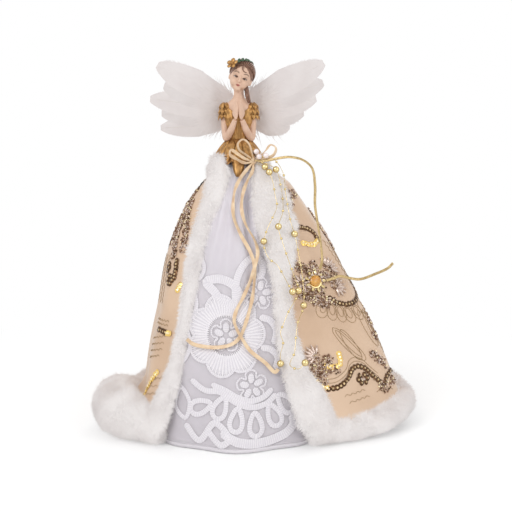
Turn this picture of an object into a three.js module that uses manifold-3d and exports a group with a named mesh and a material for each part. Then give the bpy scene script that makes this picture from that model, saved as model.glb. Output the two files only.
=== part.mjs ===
// Angel tree topper: a gold cast angel on a hollow cone, in a white lace skirt and a champagne satin robe
// edged with white fur, with feather wings, a ribbon bow, bead strands and a jewelled brooch.
// Millimetres. +Z is up, -Y is the front, +X is the viewer's right. The origin is the middle of the
// cone's mouth, where the tip of the tree goes in, on the surface that the figure stands on.
import * as THREE from "three";
import { mergeGeometries, mergeVertices } from "three/addons/utils/BufferGeometryUtils.js";
import Module from "manifold-3d";

const wasm = await Module();
wasm.setup();

// Clearances
const FIT_GAP = 0.4;
const PRESS_GAP = 0.3;

// Card cone
const CONE_HEIGHT = 214;
const CONE_BASE_R = 62;
const CONE_TOP_R = 12.5;
const CONE_WALL = 1.5;

// White satin underskirt, standing full in front and drawn in at the sides and the back
const CLOTH = 1.2;
const SKIRT_FRONT_R = 112;
const SKIRT_SIDE_R = 66;
const SKIRT_FRONT_BELL = 1.12;
const SKIRT_SIDE_BELL = 2.3;
const SKIRT_FOLDS = 12;
const SKIRT_FOLD_DEPTH = 2.2;
const SKIRT_COLUMNS = 4 * SKIRT_FOLDS;
const LEVELS = 8;

// Lace panel over the front of the underskirt
const LACE_THICK = 0.8;
const LACE_HEM_Z = 3;
const LACE_COLUMNS_LEFT = 8;
const LACE_COLUMNS_RIGHT = 7;

// Champagne robe, open in front and swept out to the viewer's right
const ROBE_THICK = 1.4;
const ROBE_EASE = 2.5;
const ROBE_SWEEP_TOP = 11.5;
const ROBE_SWEEP_HEM = 52;
const ROBE_SWEEP_CURVE = 1.18;
const ROBE_FLICK = 30;
const ROBE_FOLDS = 15;
const ROBE_FOLD_DEPTH = 1.6;
const ROBE_COLUMNS = 48;

// Fur trims: one down each front edge of the robe and a roll along its hem
const FUR_LEFT_R = 8.5;
const FUR_RIGHT_R = 10;
const FUR_LEFT_TOP_DEG = -55;
const FUR_LEFT_HEM_DEG = -30.5;
const FUR_RIGHT_TOP_DEG = 52;
const FUR_RIGHT_HEM_DEG = 26.5;
const FUR_TOP_RISE = 3;
const FUR_FOOT_Z = 16;
const FUR_LIFT = 0.5;
const FUR_SIDES = 12;
const HEM_ROLL_R = 14;
const HEM_ROLL_OUT = 4;
const HEM_ROLL_LEFT_R = 18.5;
const HEM_ROLL_LEFT_OUT = 16;
const HEM_SWELL_DEG = [262, 292, 305, 326];
const HEM_ROLL_LEFT_DEG = -33;
const HEM_ROLL_RIGHT_DEG = 31;

// Cast bust, with heights above its base: half widths and half depths up the figure
const BUST_SIDES = 16;
const PEG_LENGTH = 24;
const PEPLUM_R = 20.5;
const PEPLUM_RISE = 7;
const PEPLUM_TAPER = 0.8;
const PEPLUM_FLATNESS = 0.7;
const HIP_DRAW_IN = 1.4;
const WAIST_RISE = 18.7;
const WAIST_HALF = 8.7;
const WAIST_DEPTH = 6.8;
const CHEST_RISE = 36;
const CHEST_HALF = 11.6;
const CHEST_DEPTH = 7.6;
const SHOULDER_RISE = 46;
const SHOULDER_HALF = 11;
const SHOULDER_DEPTH = 6;
const NECK_RISE = 53;
const NECK_R = 4.6;
const COLLAR_DRAW_IN = 0.8;
const SLEEVE_RISE = 41;
const SLEEVE_X = 11.8;
const SLEEVE_R = 5;
const SLEEVE_HALF_HEIGHT = 6.8;
const HEAD_RISE = 71.6;
const HEAD_X = 2;
const HEAD_FORWARD = 1;
const HEAD_ROLL_DEG = 14;
const FACE_HALF = 8.4;
const FACE_DEPTH = 9.2;
const FACE_HALF_HEIGHT = 11.6;
const HAIR_HALF = 9.8;
const HAIR_DEPTH = 10.4;
const HAIR_HALF_HEIGHT = 10.9;
const HAIR_BACK = 1.8;
const HAIR_UP = 2.4;
const BRAID_R = 2.8;
const BRAID_DROP = 16;
const BRAID_OUT = 7.2;
const BRAID_FORWARD = 4.5;
const BRAID_TAPER = 0.45;
const LEAF_DEGS = [-44, -20, 0, 20, 44];
const LEAF_HALF_LENGTH = 11;
const LEAF_HALF_WIDTH = 5;
const LEAF_HALF_THICK = 2;
const LEAF_LEAN_DEG = 32;

// Arms and praying hands
const ARM_R = 3.1;
const WRIST_R = 2.2;
const HAND_HALF = 1.3;
const HAND_GAP = 0.5;
const ELBOW_X = 10.6;
const ELBOW_RISE = 19.5;
const WRIST_RISE = 36;
const WRIST_FORWARD = 14;
const FINGERTIP_RISE = 50;
const ARM_SET = 2;
const SHOULDER_FORWARD = 1;
const UPPER_ARM_OUT = 0.8;
const UPPER_ARM_FORWARD = 2;
const UPPER_ARM_DROP = 3;
const ELBOW_FORWARD = 4;
const FOREARM_RISE = 7;
const PALM_FORWARD = 1.6;
const FINGERTIP_FORWARD = 2.2;
const FINGERTIP_TAPER = 0.5;

// Hair ornaments
const PETALS = 5;
const PETAL_R = 2.3;
const PETAL_THICK = 1.7;
const WREATH_LEAVES = 5;
const WREATH_LEAF_HALF = 2.6;
const WREATH_LEAF_THICK = 1.7;
const WREATH_FORWARD = 0.4;

// Wings: a stitched pad on the back, wires that turn in its two channels, and five feathers a side
const PAD_HALF_WIDTH = 9.2;
const PAD_HEIGHT = 17;
const PAD_THICK = 1.6;
const PAD_RISE = 43.7;
const CHANNEL_R = 2;
const WIRE_R = 0.7;
const WIRE_STOP_R = 1.4;
const WIRE_REACH = 47;
const WIRE_CLIMB = 22;
const WIRE_BEND = 1.8;
const WING_PIVOT_X = 7;
const FEATHER_THICK = 1.1;
const FEATHER_ROOT_OUT = 5.5;
const FEATHER_ROOT_RISE = 57.7;
const FEATHER_ROOT_STEP = 6.5;
const FEATHER_HALVES = [12, 11.5, 11, 10, 9];
const LEFT_FEATHERS = [[60, 17], [58, 12], [63, 7], [57, 3], [53, -4]];
const RIGHT_FEATHERS = [[64, 18], [60, 11], [53, 7], [42, 3], [30, -3]];
const FLUFF_HALF_WIDTH = 15;
const FLUFF_HALF_HEIGHT = 19;
const FLUFF_DEPTH = 4.2;
const FLUFF_OUT = 26;
const FLUFF_RISE = 47;

// Ribbon bow and tails, pearls, bead strands and brooch
const RIBBON_WIDTH = 3;
const RIBBON_THICK = 0.5;
const RIBBON_PINCH = 1.2;
const KNOT_DEG = 31;
const KNOT_RISE = 2;
const KNOT_R = 2.6;
const PEARL_R = 2.3;
const PEARL_PLACES = [[2.5, -3.2, 7.6], [4.8, -4.8, 3.5], [10.3, -7.4, 4.5]];
const THREAD = 0.8;
const BALL_R = 2.7;
const BROOCH_DEG = 49.4;
const BROOCH_Z = 121;
const STONE_R = 4.8;
const STONE_HEIGHT = 3;
const SETTING_R = 5.6;
const SETTING_THICK = 1.4;
const CRYSTALS = 9;
const CRYSTAL_HALF_LENGTH = 2.2;
const CRYSTAL_HALF_WIDTH = 1.3;

const rad = THREE.MathUtils.degToRad;
const smooth = (from, to, value) => THREE.MathUtils.smoothstep(value, from, to);
const angel = new THREE.Group();

// Colours and finishes
const finish = (color, roughness, metalness = 0) => ({ color, roughness, metalness });
const CARD = finish(0xd8cfc0, 0.9);
const GOLD = finish(0xb08a3e, 0.4, 0.7);
const SKIN = finish(0xe6b48f, 0.6);
const GREEN = finish(0x4c6a35, 0.7);
const SATIN = finish(0xe9e6ee, 0.5);
const LACE = finish(0xf4f2f4, 0.8);
const CHAMPAGNE = finish(0xcbb79b, 0.45);
const FUR = finish(0xf3f1f2, 0.95);
const FEATHER = finish(0xf7f6f6, 0.8);
const FELT = finish(0xefeae2, 0.95);
const WIRE = finish(0xcfcfd2, 0.4, 0.9);
const RIBBON = finish(0xc9a679, 0.35);
const PEARL = finish(0xf1e8dc, 0.25);
const BEAD = finish(0xb98d3f, 0.3, 0.8);
const AMBER = finish(0xb9701f, 0.1);
const CRYSTAL = finish(0xe7e2da, 0.1);

// Mesh helpers
function cleaned(geometry) {
  const bare = geometry.clone();
  bare.deleteAttribute("normal");
  bare.deleteAttribute("uv");
  const merged = mergeVertices(bare, 1e-4);
  const kept = [];
  const index = merged.index.array;
  for (let i = 0; i < index.length; i += 3) {
    const [a, b, c] = [index[i], index[i + 1], index[i + 2]];
    if (a !== b && b !== c && c !== a) kept.push(a, b, c);
  }
  merged.setIndex(kept);
  return merged;
}

function facingOut(geometry) {
  const [a, b, c] = [new THREE.Vector3(), new THREE.Vector3(), new THREE.Vector3()];
  const { position } = geometry.attributes;
  const index = geometry.index.array;
  let volume = 0;
  for (let i = 0; i < index.length; i += 3) {
    a.fromBufferAttribute(position, index[i]);
    b.fromBufferAttribute(position, index[i + 1]);
    c.fromBufferAttribute(position, index[i + 2]);
    volume += a.dot(b.cross(c));
  }
  if (volume < 0) geometry.setIndex(Array.from(index).reverse());
  return geometry;
}

function solid(geometry) {
  const mesh = facingOut(cleaned(geometry));
  const vertProperties = new Float32Array(mesh.attributes.position.array);
  const triVerts = new Uint32Array(mesh.index.array);
  return new wasm.Manifold(new wasm.Mesh({ numProp: 3, vertProperties, triVerts }));
}

function largestPiece(shape) {
  return shape.decompose().reduce((best, piece) => (piece.volume() > best.volume() ? piece : best));
}

function geometryOf(shape) {
  const mesh = shape.getMesh();
  const geometry = new THREE.BufferGeometry();
  geometry.setAttribute("position", new THREE.BufferAttribute(mesh.vertProperties, 3));
  geometry.setIndex(new THREE.BufferAttribute(mesh.triVerts, 1));
  return geometry;
}

const joined = (shapes) => shapes.reduce((whole, shape) => whole.add(shape));
const without = (shape, cutters) => cutters.reduce((rest, cutter) => rest.subtract(cutter), shape);

function addPiece(name, shape, look, parent = angel) {
  const geometry = geometryOf(largestPiece(shape));
  geometry.computeVertexNormals();
  const mesh = new THREE.Mesh(geometry, new THREE.MeshStandardMaterial(look));
  mesh.name = name;
  parent.add(mesh);
}

// A closed body through rings of points, with a fan over each end
function loft(rings) {
  const sides = rings[0].length;
  const points = rings.flat();
  const faces = [];
  for (let i = 0; i + 1 < rings.length; i++) {
    for (let j = 0; j < sides; j++) {
      const next = (j + 1) % sides;
      const [a, b] = [i * sides + j, i * sides + next];
      faces.push(a, b, b + sides, a, b + sides, a + sides);
    }
  }
  for (const [ring, start] of [[rings[0], 0], [rings.at(-1), (rings.length - 1) * sides]]) {
    const centre = points.length;
    points.push(ring.reduce((sum, p) => sum.add(p), new THREE.Vector3()).divideScalar(sides));
    for (let j = 0; j < sides; j++) {
      const [a, b] = [start + j, start + ((j + 1) % sides)];
      faces.push(...(start === 0 ? [centre, b, a] : [centre, a, b]));
    }
  }
  const geometry = new THREE.BufferGeometry().setFromPoints(points);
  geometry.setIndex(faces);
  return geometry;
}

// A sheet with a thickness: outer and inner points on a grid of columns and levels
function sheet(columns, levels, outer, inner, closed) {
  const points = [];
  const faces = [];
  const place = (side, i, j) => ((side * columns + (closed ? i % columns : i)) * levels) + j;
  for (const surface of [outer, inner]) {
    for (let i = 0; i < columns; i++) {
      for (let j = 0; j < levels; j++) points.push(surface(i, j));
    }
  }
  const spans = closed ? columns : columns - 1;
  const quad = (a, b, c, d) => faces.push(a, b, c, a, c, d);
  for (let i = 0; i < spans; i++) {
    for (let j = 0; j + 1 < levels; j++) {
      quad(place(0, i, j), place(0, i + 1, j), place(0, i + 1, j + 1), place(0, i, j + 1));
      quad(place(1, i, j), place(1, i, j + 1), place(1, i + 1, j + 1), place(1, i + 1, j));
    }
    const top = levels - 1;
    quad(place(0, i, 0), place(1, i, 0), place(1, i + 1, 0), place(0, i + 1, 0));
    quad(place(0, i, top), place(0, i + 1, top), place(1, i + 1, top), place(1, i, top));
  }
  for (let j = 0; j + 1 < levels && !closed; j++) {
    const last = columns - 1;
    quad(place(0, 0, j), place(0, 0, j + 1), place(1, 0, j + 1), place(1, 0, j));
    quad(place(0, last, j), place(1, last, j), place(1, last, j + 1), place(0, last, j + 1));
  }
  const geometry = new THREE.BufferGeometry().setFromPoints(points);
  geometry.setIndex(faces);
  return geometry;
}

// A point at an angle round the axis, counted from the front towards the viewer's right
const polar = (angle, radius, z) => new THREE.Vector3(radius * Math.sin(angle), -radius * Math.cos(angle), z);

function ellipsoid(centre, [x, y, z], matrix = new THREE.Matrix4(), around = 12, up = 8) {
  const ball = new THREE.SphereGeometry(1, around, up);
  ball.rotateX(Math.PI / 2);
  ball.scale(x, y, z);
  ball.applyMatrix4(matrix);
  ball.translate(centre.x, centre.y, centre.z);
  return solid(ball);
}

// A round body along a smooth line, with a radius for each part of the way
function limb(points, radius, steps, sides) {
  const curve = new THREE.CatmullRomCurve3(points);
  const frames = curve.computeFrenetFrames(steps);
  const rings = [];
  for (let i = 0; i <= steps; i++) {
    const centre = curve.getPointAt(i / steps);
    const ring = [];
    for (let j = 0; j < sides; j++) {
      const turn = (2 * Math.PI * j) / sides;
      const across = frames.normals[i].clone().multiplyScalar(Math.cos(turn));
      across.addScaledVector(frames.binormals[i], Math.sin(turn));
      ring.push(centre.clone().addScaledVector(across, radius(i / steps)));
    }
    rings.push(ring);
  }
  return solid(loft(rings));
}

// Card cone, open at both ends
const coneProfile = [
  new THREE.Vector2(CONE_BASE_R - CONE_WALL, 0),
  new THREE.Vector2(CONE_BASE_R, 0),
  new THREE.Vector2(CONE_TOP_R, CONE_HEIGHT),
  new THREE.Vector2(CONE_TOP_R - CONE_WALL, CONE_HEIGHT),
  new THREE.Vector2(CONE_BASE_R - CONE_WALL, 0),
];
const coneGeometry = new THREE.LatheGeometry(coneProfile, 40);
coneGeometry.rotateX(Math.PI / 2);
addPiece("cone_core", solid(coneGeometry), CARD);

// Underskirt: the share of the way down, the share of the front and the radius at an angle and a height
const drop = (z) => Math.max(0, (CONE_HEIGHT - z) / CONE_HEIGHT);
const frontShare = (angle) => (Math.abs(angle) < rad(100) ? Math.cos(0.9 * angle) ** 2 : 0);
const signed = (angle) => Math.atan2(Math.sin(angle), Math.cos(angle));
const levelZ = (j, hem) => hem + ((CONE_HEIGHT - hem) * j) / (LEVELS - 1);

function skirtEven(angle, z) {
  const front = frontShare(signed(angle));
  const top = CONE_TOP_R + FIT_GAP + CLOTH;
  const hem = SKIRT_SIDE_R + (SKIRT_FRONT_R - SKIRT_SIDE_R) * front;
  const bell = SKIRT_SIDE_BELL + (SKIRT_FRONT_BELL - SKIRT_SIDE_BELL) * front;
  return top + (hem - top) * (1 - (1 - drop(z)) ** bell);
}

const skirtFold = (angle, z) => SKIRT_FOLD_DEPTH * drop(z) * Math.cos(SKIRT_FOLDS * angle);
const skirtOuter = (angle, z) => skirtEven(angle, z) + skirtFold(angle, z);
const laceOuter = (angle, z) => skirtOuter(angle, z) + FIT_GAP + LACE_THICK;
const columnAngle = (i) => (2 * Math.PI * i) / SKIRT_COLUMNS;

function skirtSheet(first, columns, hem, outside, thick, closed) {
  const at = (i, j, inset) => {
    const z = levelZ(j, hem);
    const angle = columnAngle(first + i);
    return polar(angle, outside(angle, z) - inset, z);
  };
  return solid(sheet(columns, LEVELS, (i, j) => at(i, j, 0), (i, j) => at(i, j, thick), closed));
}

addPiece("underskirt", skirtSheet(0, SKIRT_COLUMNS, 0, skirtOuter, CLOTH, true), SATIN);

// Lace panel
const laceColumns = LACE_COLUMNS_LEFT + LACE_COLUMNS_RIGHT + 1;
const lacePanel = skirtSheet(-LACE_COLUMNS_LEFT, laceColumns, LACE_HEM_Z, laceOuter, LACE_THICK, false);
addPiece("lace_panel", lacePanel, LACE);

// The space of the skirts, with a clearance, which the pieces that lie on them stay out of
const skirtRings = Array.from({ length: LEVELS }, (_, j) => {
  const ring = [];
  for (let i = 0; i < SKIRT_COLUMNS; i++) {
    const angle = columnAngle(i);
    ring.push(polar(angle, laceOuter(angle, levelZ(j, 0)) + FIT_GAP, levelZ(j, 0)));
  }
  return ring;
});
const skirtSpace = solid(loft(skirtRings));

// Robe: how far it sweeps out, full at the right side, half at the back and none at the left
function sweepShare(angle) {
  const degrees = THREE.MathUtils.radToDeg((angle + 4 * Math.PI) % (2 * Math.PI));
  const right = smooth(28, 80, degrees) * (1 - 0.55 * smooth(125, 200, degrees));
  return right * (1 - smooth(200, 262, degrees));
}

function robeEven(angle, z) {
  const down = drop(z);
  const sweep = sweepShare(angle);
  const collar = smooth(0, 0.08, down);
  const stack = SKIRT_FOLD_DEPTH * down + 2 * FIT_GAP + LACE_THICK + ROBE_THICK;
  const flare = sweep * (ROBE_SWEEP_TOP * collar + ROBE_SWEEP_HEM * down ** ROBE_SWEEP_CURVE);
  const flick = ROBE_FLICK * (1 - sweep) * (1 - frontShare(signed(angle))) * smooth(0.8, 1, down);
  return skirtEven(angle, z) + stack + ROBE_EASE * collar + flare + flick + ROBE_FOLD_DEPTH * down;
}

const robeOuter = (angle, z) => robeEven(angle, z) + ROBE_FOLD_DEPTH * drop(z) * Math.cos(ROBE_FOLDS * angle);

// Hem roll: its radius and how far it stands out grow towards the left, and the robe ends on top of it
const [swellFrom, swellFull, swellEase, swellEnd] = HEM_SWELL_DEG.map(rad);
const leftShare = (angle) => smooth(swellFrom, swellFull, angle) * (1 - smooth(swellEase, swellEnd, angle));
const rollRadius = (angle) => HEM_ROLL_R + (HEM_ROLL_LEFT_R - HEM_ROLL_R) * leftShare(angle);
const rollOut = (angle) => HEM_ROLL_OUT + (HEM_ROLL_LEFT_OUT - HEM_ROLL_OUT) * leftShare(angle);

function robeHemZ(angle) {
  const reach = rollRadius(angle) + FIT_GAP;
  const inside = rollOut(angle) - ROBE_FOLD_DEPTH;
  return rollRadius(angle) + Math.sqrt(reach * reach - inside * inside);
}

const roundedEnd = (t, blunt, rate) => Math.min(1, blunt + rate * Math.min(t, 1 - t));

function hemRoll(extra) {
  const steps = 40;
  const [from, to] = [rad(HEM_ROLL_RIGHT_DEG), rad(HEM_ROLL_LEFT_DEG) + 2 * Math.PI];
  const rings = [];
  for (let i = 0; i <= steps; i++) {
    const angle = from + ((to - from) * i) / steps;
    const radius = rollRadius(angle) * roundedEnd(i / steps, 0.8, 12);
    const middle = robeEven(angle, robeHemZ(angle)) + rollOut(angle);
    const ring = [];
    for (let j = 0; j < FUR_SIDES; j++) {
      const turn = (2 * Math.PI * j) / FUR_SIDES;
      const across = (radius + extra) * Math.cos(turn);
      ring.push(polar(angle, middle + across, radius + (radius + extra) * Math.sin(turn)));
    }
    rings.push(ring);
  }
  return solid(loft(rings));
}

const rollSpace = hemRoll(PRESS_GAP);
addPiece("fur_hem", hemRoll(0).subtract(skirtSpace), FUR);

// Fur edges: tubes of fur down the two front edges of the robe, from the peplum to the hem roll
const edgeAngle = (top, hem) => (z) => rad(hem + (top - hem) * (1 - drop(z)) ** 4);
const leftEdge = edgeAngle(FUR_LEFT_TOP_DEG, FUR_LEFT_HEM_DEG);
const rightEdge = edgeAngle(FUR_RIGHT_TOP_DEG, FUR_RIGHT_HEM_DEG);

function furEdge(edge, radius) {
  const steps = 12;
  const top = CONE_HEIGHT + FUR_TOP_RISE;
  const points = [];
  for (let i = 0; i <= steps; i++) {
    const z = top + ((FUR_FOOT_Z - top) * i) / steps;
    const under = Math.max(laceOuter(edge(z), z), PEPLUM_R);
    points.push(polar(edge(z), under + FUR_LIFT * radius, z));
  }
  return limb(points, (t) => radius * roundedEnd(t, 0.5, 8), 18, 10);
}

// The robe starts beside the fur edges, so its front edges follow their width
function robePoint(i, j, inset) {
  const share = i / (ROBE_COLUMNS - 1);
  const full = 2 * Math.PI;
  const hemZ = robeHemZ(rad(HEM_ROLL_RIGHT_DEG) * (1 - share) + (rad(HEM_ROLL_LEFT_DEG) + full) * share);
  const z = levelZ(j, hemZ);
  const besideFur = (edge, radius) => (radius + 3 * FIT_GAP) / robeEven(edge(z), z);
  const from = rightEdge(z) + besideFur(rightEdge, FUR_RIGHT_R);
  const to = leftEdge(z) - besideFur(leftEdge, FUR_LEFT_R) + full;
  const angle = from + (to - from) * share;
  return polar(angle, robeOuter(angle, z) - inset, z);
}

const robeOutside = (i, j) => robePoint(i, j, 0);
const robeInside = (i, j) => robePoint(i, j, ROBE_THICK);
const robeSheet = sheet(ROBE_COLUMNS, LEVELS, robeOutside, robeInside, false);

// The figure stands on the cone's top edge; everything in its group is placed from its base
const figureZ = CONE_HEIGHT + PRESS_GAP;
const figure = new THREE.Group();
figure.position.z = figureZ;
angel.add(figure);
const inFigure = (shape) => shape.translate([0, 0, -figureZ]);

// Peplum leaves: the pointed gold leaves of the bodice, lying on the skirts below the waist
function peplumLeaves(extra) {
  return LEAF_DEGS.map((degrees) => {
    const angle = rad(degrees);
    const z = CONE_HEIGHT - LEAF_HALF_LENGTH / 3;
    const lean = new THREE.Matrix4().makeRotationX(-rad(LEAF_LEAN_DEG));
    lean.premultiply(new THREE.Matrix4().makeRotationZ(angle));
    const half = [LEAF_HALF_WIDTH + extra, LEAF_HALF_THICK + extra, LEAF_HALF_LENGTH + extra];
    return ellipsoid(polar(angle, laceOuter(angle, z) + LEAF_HALF_THICK / 2, z), half, lean, 8, 6);
  });
}

// Arms: shoulder, elbow, wrist and the tips of the praying hands
function arm(side, extra) {
  const palm = HAND_HALF + HAND_GAP / 2;
  const points = [
    [SLEEVE_X, SHOULDER_FORWARD, SLEEVE_RISE - ARM_SET],
    [ELBOW_X + UPPER_ARM_OUT, UPPER_ARM_FORWARD, (SLEEVE_RISE + ELBOW_RISE) / 2 - UPPER_ARM_DROP],
    [ELBOW_X, ELBOW_FORWARD, ELBOW_RISE],
    [0.6 * ELBOW_X, 0.7 * WRIST_FORWARD, ELBOW_RISE + FOREARM_RISE],
    [1.5 * palm, WRIST_FORWARD, WRIST_RISE],
    [palm, WRIST_FORWARD + PALM_FORWARD, (WRIST_RISE + FINGERTIP_RISE) / 2],
    [palm, WRIST_FORWARD + FINGERTIP_FORWARD, FINGERTIP_RISE],
  ].map(([x, forward, z]) => new THREE.Vector3(side * x, -forward, z));
  const radius = (t) => {
    const forearm = ARM_R + (WRIST_R - ARM_R) * smooth(0.35, 0.7, t);
    const hand = (HAND_HALF - WRIST_R) * smooth(0.7, 0.8, t);
    return forearm + hand - FINGERTIP_TAPER * smooth(0.92, 1, t);
  };
  const whole = limb(points, (t) => radius(t) + extra, 20, 8);
  const reach = 4 * FINGERTIP_RISE;
  const ownSide = new THREE.BoxGeometry(reach, reach, reach);
  ownSide.translate(side * (reach / 2 + HAND_GAP / 2 - extra), 0, WRIST_RISE);
  return whole.intersect(solid(ownSide));
}

// Head, with its hair, leaning on the neck
const headLean = new THREE.Matrix4().makeRotationY(rad(HEAD_ROLL_DEG));
const headMiddle = new THREE.Vector3(HEAD_X, -HEAD_FORWARD, HEAD_RISE);
const onHead = (x, y, z) => new THREE.Vector3(x, y, z).applyMatrix4(headLean).add(headMiddle);

function head(extra) {
  const faceHalf = [FACE_HALF + extra, FACE_DEPTH + extra, FACE_HALF_HEIGHT + extra];
  const hairHalf = [HAIR_HALF + extra, HAIR_DEPTH + extra, HAIR_HALF_HEIGHT + extra];
  const face = ellipsoid(onHead(0, 0, 0), faceHalf, headLean);
  return face.add(ellipsoid(onHead(0, HAIR_BACK, HAIR_UP), hairHalf, headLean));
}

// Bust: a lofted body with a peg below, and its sleeves, head, braid and peplum leaves
const pegR = CONE_TOP_R - CONE_WALL - FIT_GAP;
const hip = (waist) => (PEPLUM_R + waist) / 2 - HIP_DRAW_IN;
const collar = (SHOULDER_HALF + NECK_R) / 2 - COLLAR_DRAW_IN;
const bustRings = [
  [-PEG_LENGTH, pegR, pegR],
  [0, pegR, pegR],
  [0, PEPLUM_R, PEPLUM_R],
  [PEPLUM_RISE, PEPLUM_R - PEPLUM_TAPER, PEPLUM_R - PEPLUM_TAPER - PEPLUM_FLATNESS],
  [(PEPLUM_RISE + WAIST_RISE) / 2, hip(WAIST_HALF), hip(WAIST_DEPTH)],
  [WAIST_RISE, WAIST_HALF, WAIST_DEPTH],
  [CHEST_RISE, CHEST_HALF, CHEST_DEPTH],
  [SHOULDER_RISE, SHOULDER_HALF, SHOULDER_DEPTH],
  [(SHOULDER_RISE + NECK_RISE) / 2, collar, NECK_R + COLLAR_DRAW_IN / 2],
  [NECK_RISE, NECK_R, NECK_R],
  [HEAD_RISE - FACE_HALF_HEIGHT / 2, NECK_R, NECK_R],
].map(([z, half, depth]) => {
  const turns = Array.from({ length: BUST_SIDES }, (_, j) => (2 * Math.PI * j) / BUST_SIDES);
  return turns.map((turn) => new THREE.Vector3(half * Math.cos(turn), depth * Math.sin(turn), z));
});
const sleeves = [-1, 1].map((side) => {
  const centre = new THREE.Vector3(side * SLEEVE_X, 0, SLEEVE_RISE);
  return ellipsoid(centre, [SLEEVE_R, SLEEVE_R, SLEEVE_HALF_HEIGHT], undefined, 10, 7);
});
const braidTop = NECK_RISE + BRAID_DROP / 3;
const braidRoute = [
  onHead(0.6 * FACE_HALF, HEAD_FORWARD, -0.7 * FACE_HALF_HEIGHT),
  new THREE.Vector3(HEAD_X + 0.7 * BRAID_OUT, -0.45 * BRAID_FORWARD, braidTop),
  new THREE.Vector3(HEAD_X + BRAID_OUT, -BRAID_FORWARD, braidTop - 0.6 * BRAID_DROP),
];
const braid = limb(braidRoute, (t) => BRAID_R * (1 - BRAID_TAPER * t), 5, 7);
const leaves = inFigure(joined(peplumLeaves(0)).subtract(skirtSpace));
const bust = joined([solid(loft(bustRings)), ...sleeves, head(0), braid, leaves]);
addPiece("bust", without(bust, [arm(-1, PRESS_GAP), arm(1, PRESS_GAP)]), GOLD, figure);
addPiece("left_arm", arm(-1, 0), SKIN, figure);
addPiece("right_arm", arm(1, 0), SKIN, figure);

// Hair flower at the viewer's left of the crown
const headSpace = head(PRESS_GAP);
const flowerHeart = onHead(-0.84 * HAIR_HALF, -0.65 * FACE_DEPTH, HAIR_UP + 0.42 * HAIR_HALF_HEIGHT);

function flower(extra) {
  const petals = Array.from({ length: PETALS }, (_, i) => {
    const turn = (2 * Math.PI * i) / PETALS;
    const out = new THREE.Vector3(Math.cos(turn), 0, Math.sin(turn)).multiplyScalar(PETAL_R);
    const half = [PETAL_R + extra, PETAL_THICK + extra, PETAL_R + extra];
    return ellipsoid(out.add(flowerHeart), half, undefined, 7, 4);
  });
  const heart = [PETAL_R * 0.7 + extra, PETAL_R + extra, PETAL_R * 0.7 + extra];
  return joined([ellipsoid(flowerHeart, heart, undefined, 7, 4), ...petals]);
}

addPiece("hair_flower", flower(0).subtract(headSpace), GOLD, figure);

// Wreath of leaves over the crown, in front of its highest point
const wreath = Array.from({ length: WREATH_LEAVES }, (_, i) => {
  const across = HAIR_HALF * (-0.25 + i / (WREATH_LEAVES - 1));
  const share = 1 - (across / HAIR_HALF) ** 2 - WREATH_FORWARD ** 2;
  const up = HAIR_UP + HAIR_HALF_HEIGHT * Math.sqrt(share);
  const half = [WREATH_LEAF_HALF, WREATH_LEAF_THICK, WREATH_LEAF_THICK];
  return ellipsoid(onHead(across, HAIR_BACK - HAIR_DEPTH * WREATH_FORWARD, up), half, headLean, 7, 4);
});
addPiece("hair_wreath", without(joined(wreath), [headSpace, flower(PRESS_GAP)]), GREEN, figure);

// Bow knot and pearls, at the viewer's right of the peplum
const knot = polar(rad(KNOT_DEG), PEPLUM_R + PRESS_GAP + KNOT_R, figureZ + KNOT_RISE);
const fromKnot = ([x, y, z]) => new THREE.Vector3(x, y, z).add(knot);
const ball = (centre, radius) => ellipsoid(centre, [radius, radius, radius], undefined, 8, 6);
addPiece("bow_knot", ball(knot, KNOT_R), RIBBON);
PEARL_PLACES.forEach((place, i) => addPiece(`pearl_${i + 1}`, ball(fromKnot(place), PEARL_R), PEARL));

// Fur edges and robe, kept out of what is set on them
const bustSpace = new THREE.CylinderGeometry(PEPLUM_R + FIT_GAP, PEPLUM_R + FIT_GAP, HEAD_RISE, 24);
bustSpace.rotateX(Math.PI / 2);
bustSpace.translate(0, 0, CONE_HEIGHT + HEAD_RISE / 2);
const pearlSpaces = PEARL_PLACES.map((place) => ball(fromKnot(place), PEARL_R + PRESS_GAP));
const trimSpace = [ball(knot, KNOT_R + PRESS_GAP), ...pearlSpaces];
const aroundFur = [skirtSpace, rollSpace, solid(bustSpace), ...peplumLeaves(PRESS_GAP), ...trimSpace];
addPiece("fur_left_edge", without(furEdge(leftEdge, FUR_LEFT_R), aroundFur), FUR);
addPiece("fur_right_edge", without(furEdge(rightEdge, FUR_RIGHT_R), aroundFur), FUR);
addPiece("robe", without(solid(robeSheet), [rollSpace, ...peplumLeaves(PRESS_GAP)]), CHAMPAGNE);

// Wing pad on the back of the chest, with the two stitched channels that the wing wires turn in
const padFront = CHEST_DEPTH + PRESS_GAP;
const pivotY = padFront + PAD_THICK + CHANNEL_R - FIT_GAP;
const padPlate = new THREE.BoxGeometry(2 * PAD_HALF_WIDTH, PAD_THICK, PAD_HEIGHT);
padPlate.translate(0, padFront + PAD_THICK / 2, PAD_RISE);
const upright = (radius, length, side) => {
  const rod = new THREE.CylinderGeometry(radius, radius, length, 10);
  rod.rotateX(Math.PI / 2);
  rod.translate(side * WING_PIVOT_X, pivotY, PAD_RISE);
  return solid(rod);
};
const channels = [-1, 1].map((side) => upright(CHANNEL_R, PAD_HEIGHT, side));
const bores = [-1, 1].map((side) => upright(WIRE_R + PRESS_GAP, PAD_HEIGHT + 2, side));
addPiece("wing_pad", without(joined([solid(padPlate), ...channels]), bores), FELT, figure);

// Wings: a bent wire, five feathers one behind the other, and a tuft of fluff over the root
const featherFront = pivotY + WIRE_R + PRESS_GAP;

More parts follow.
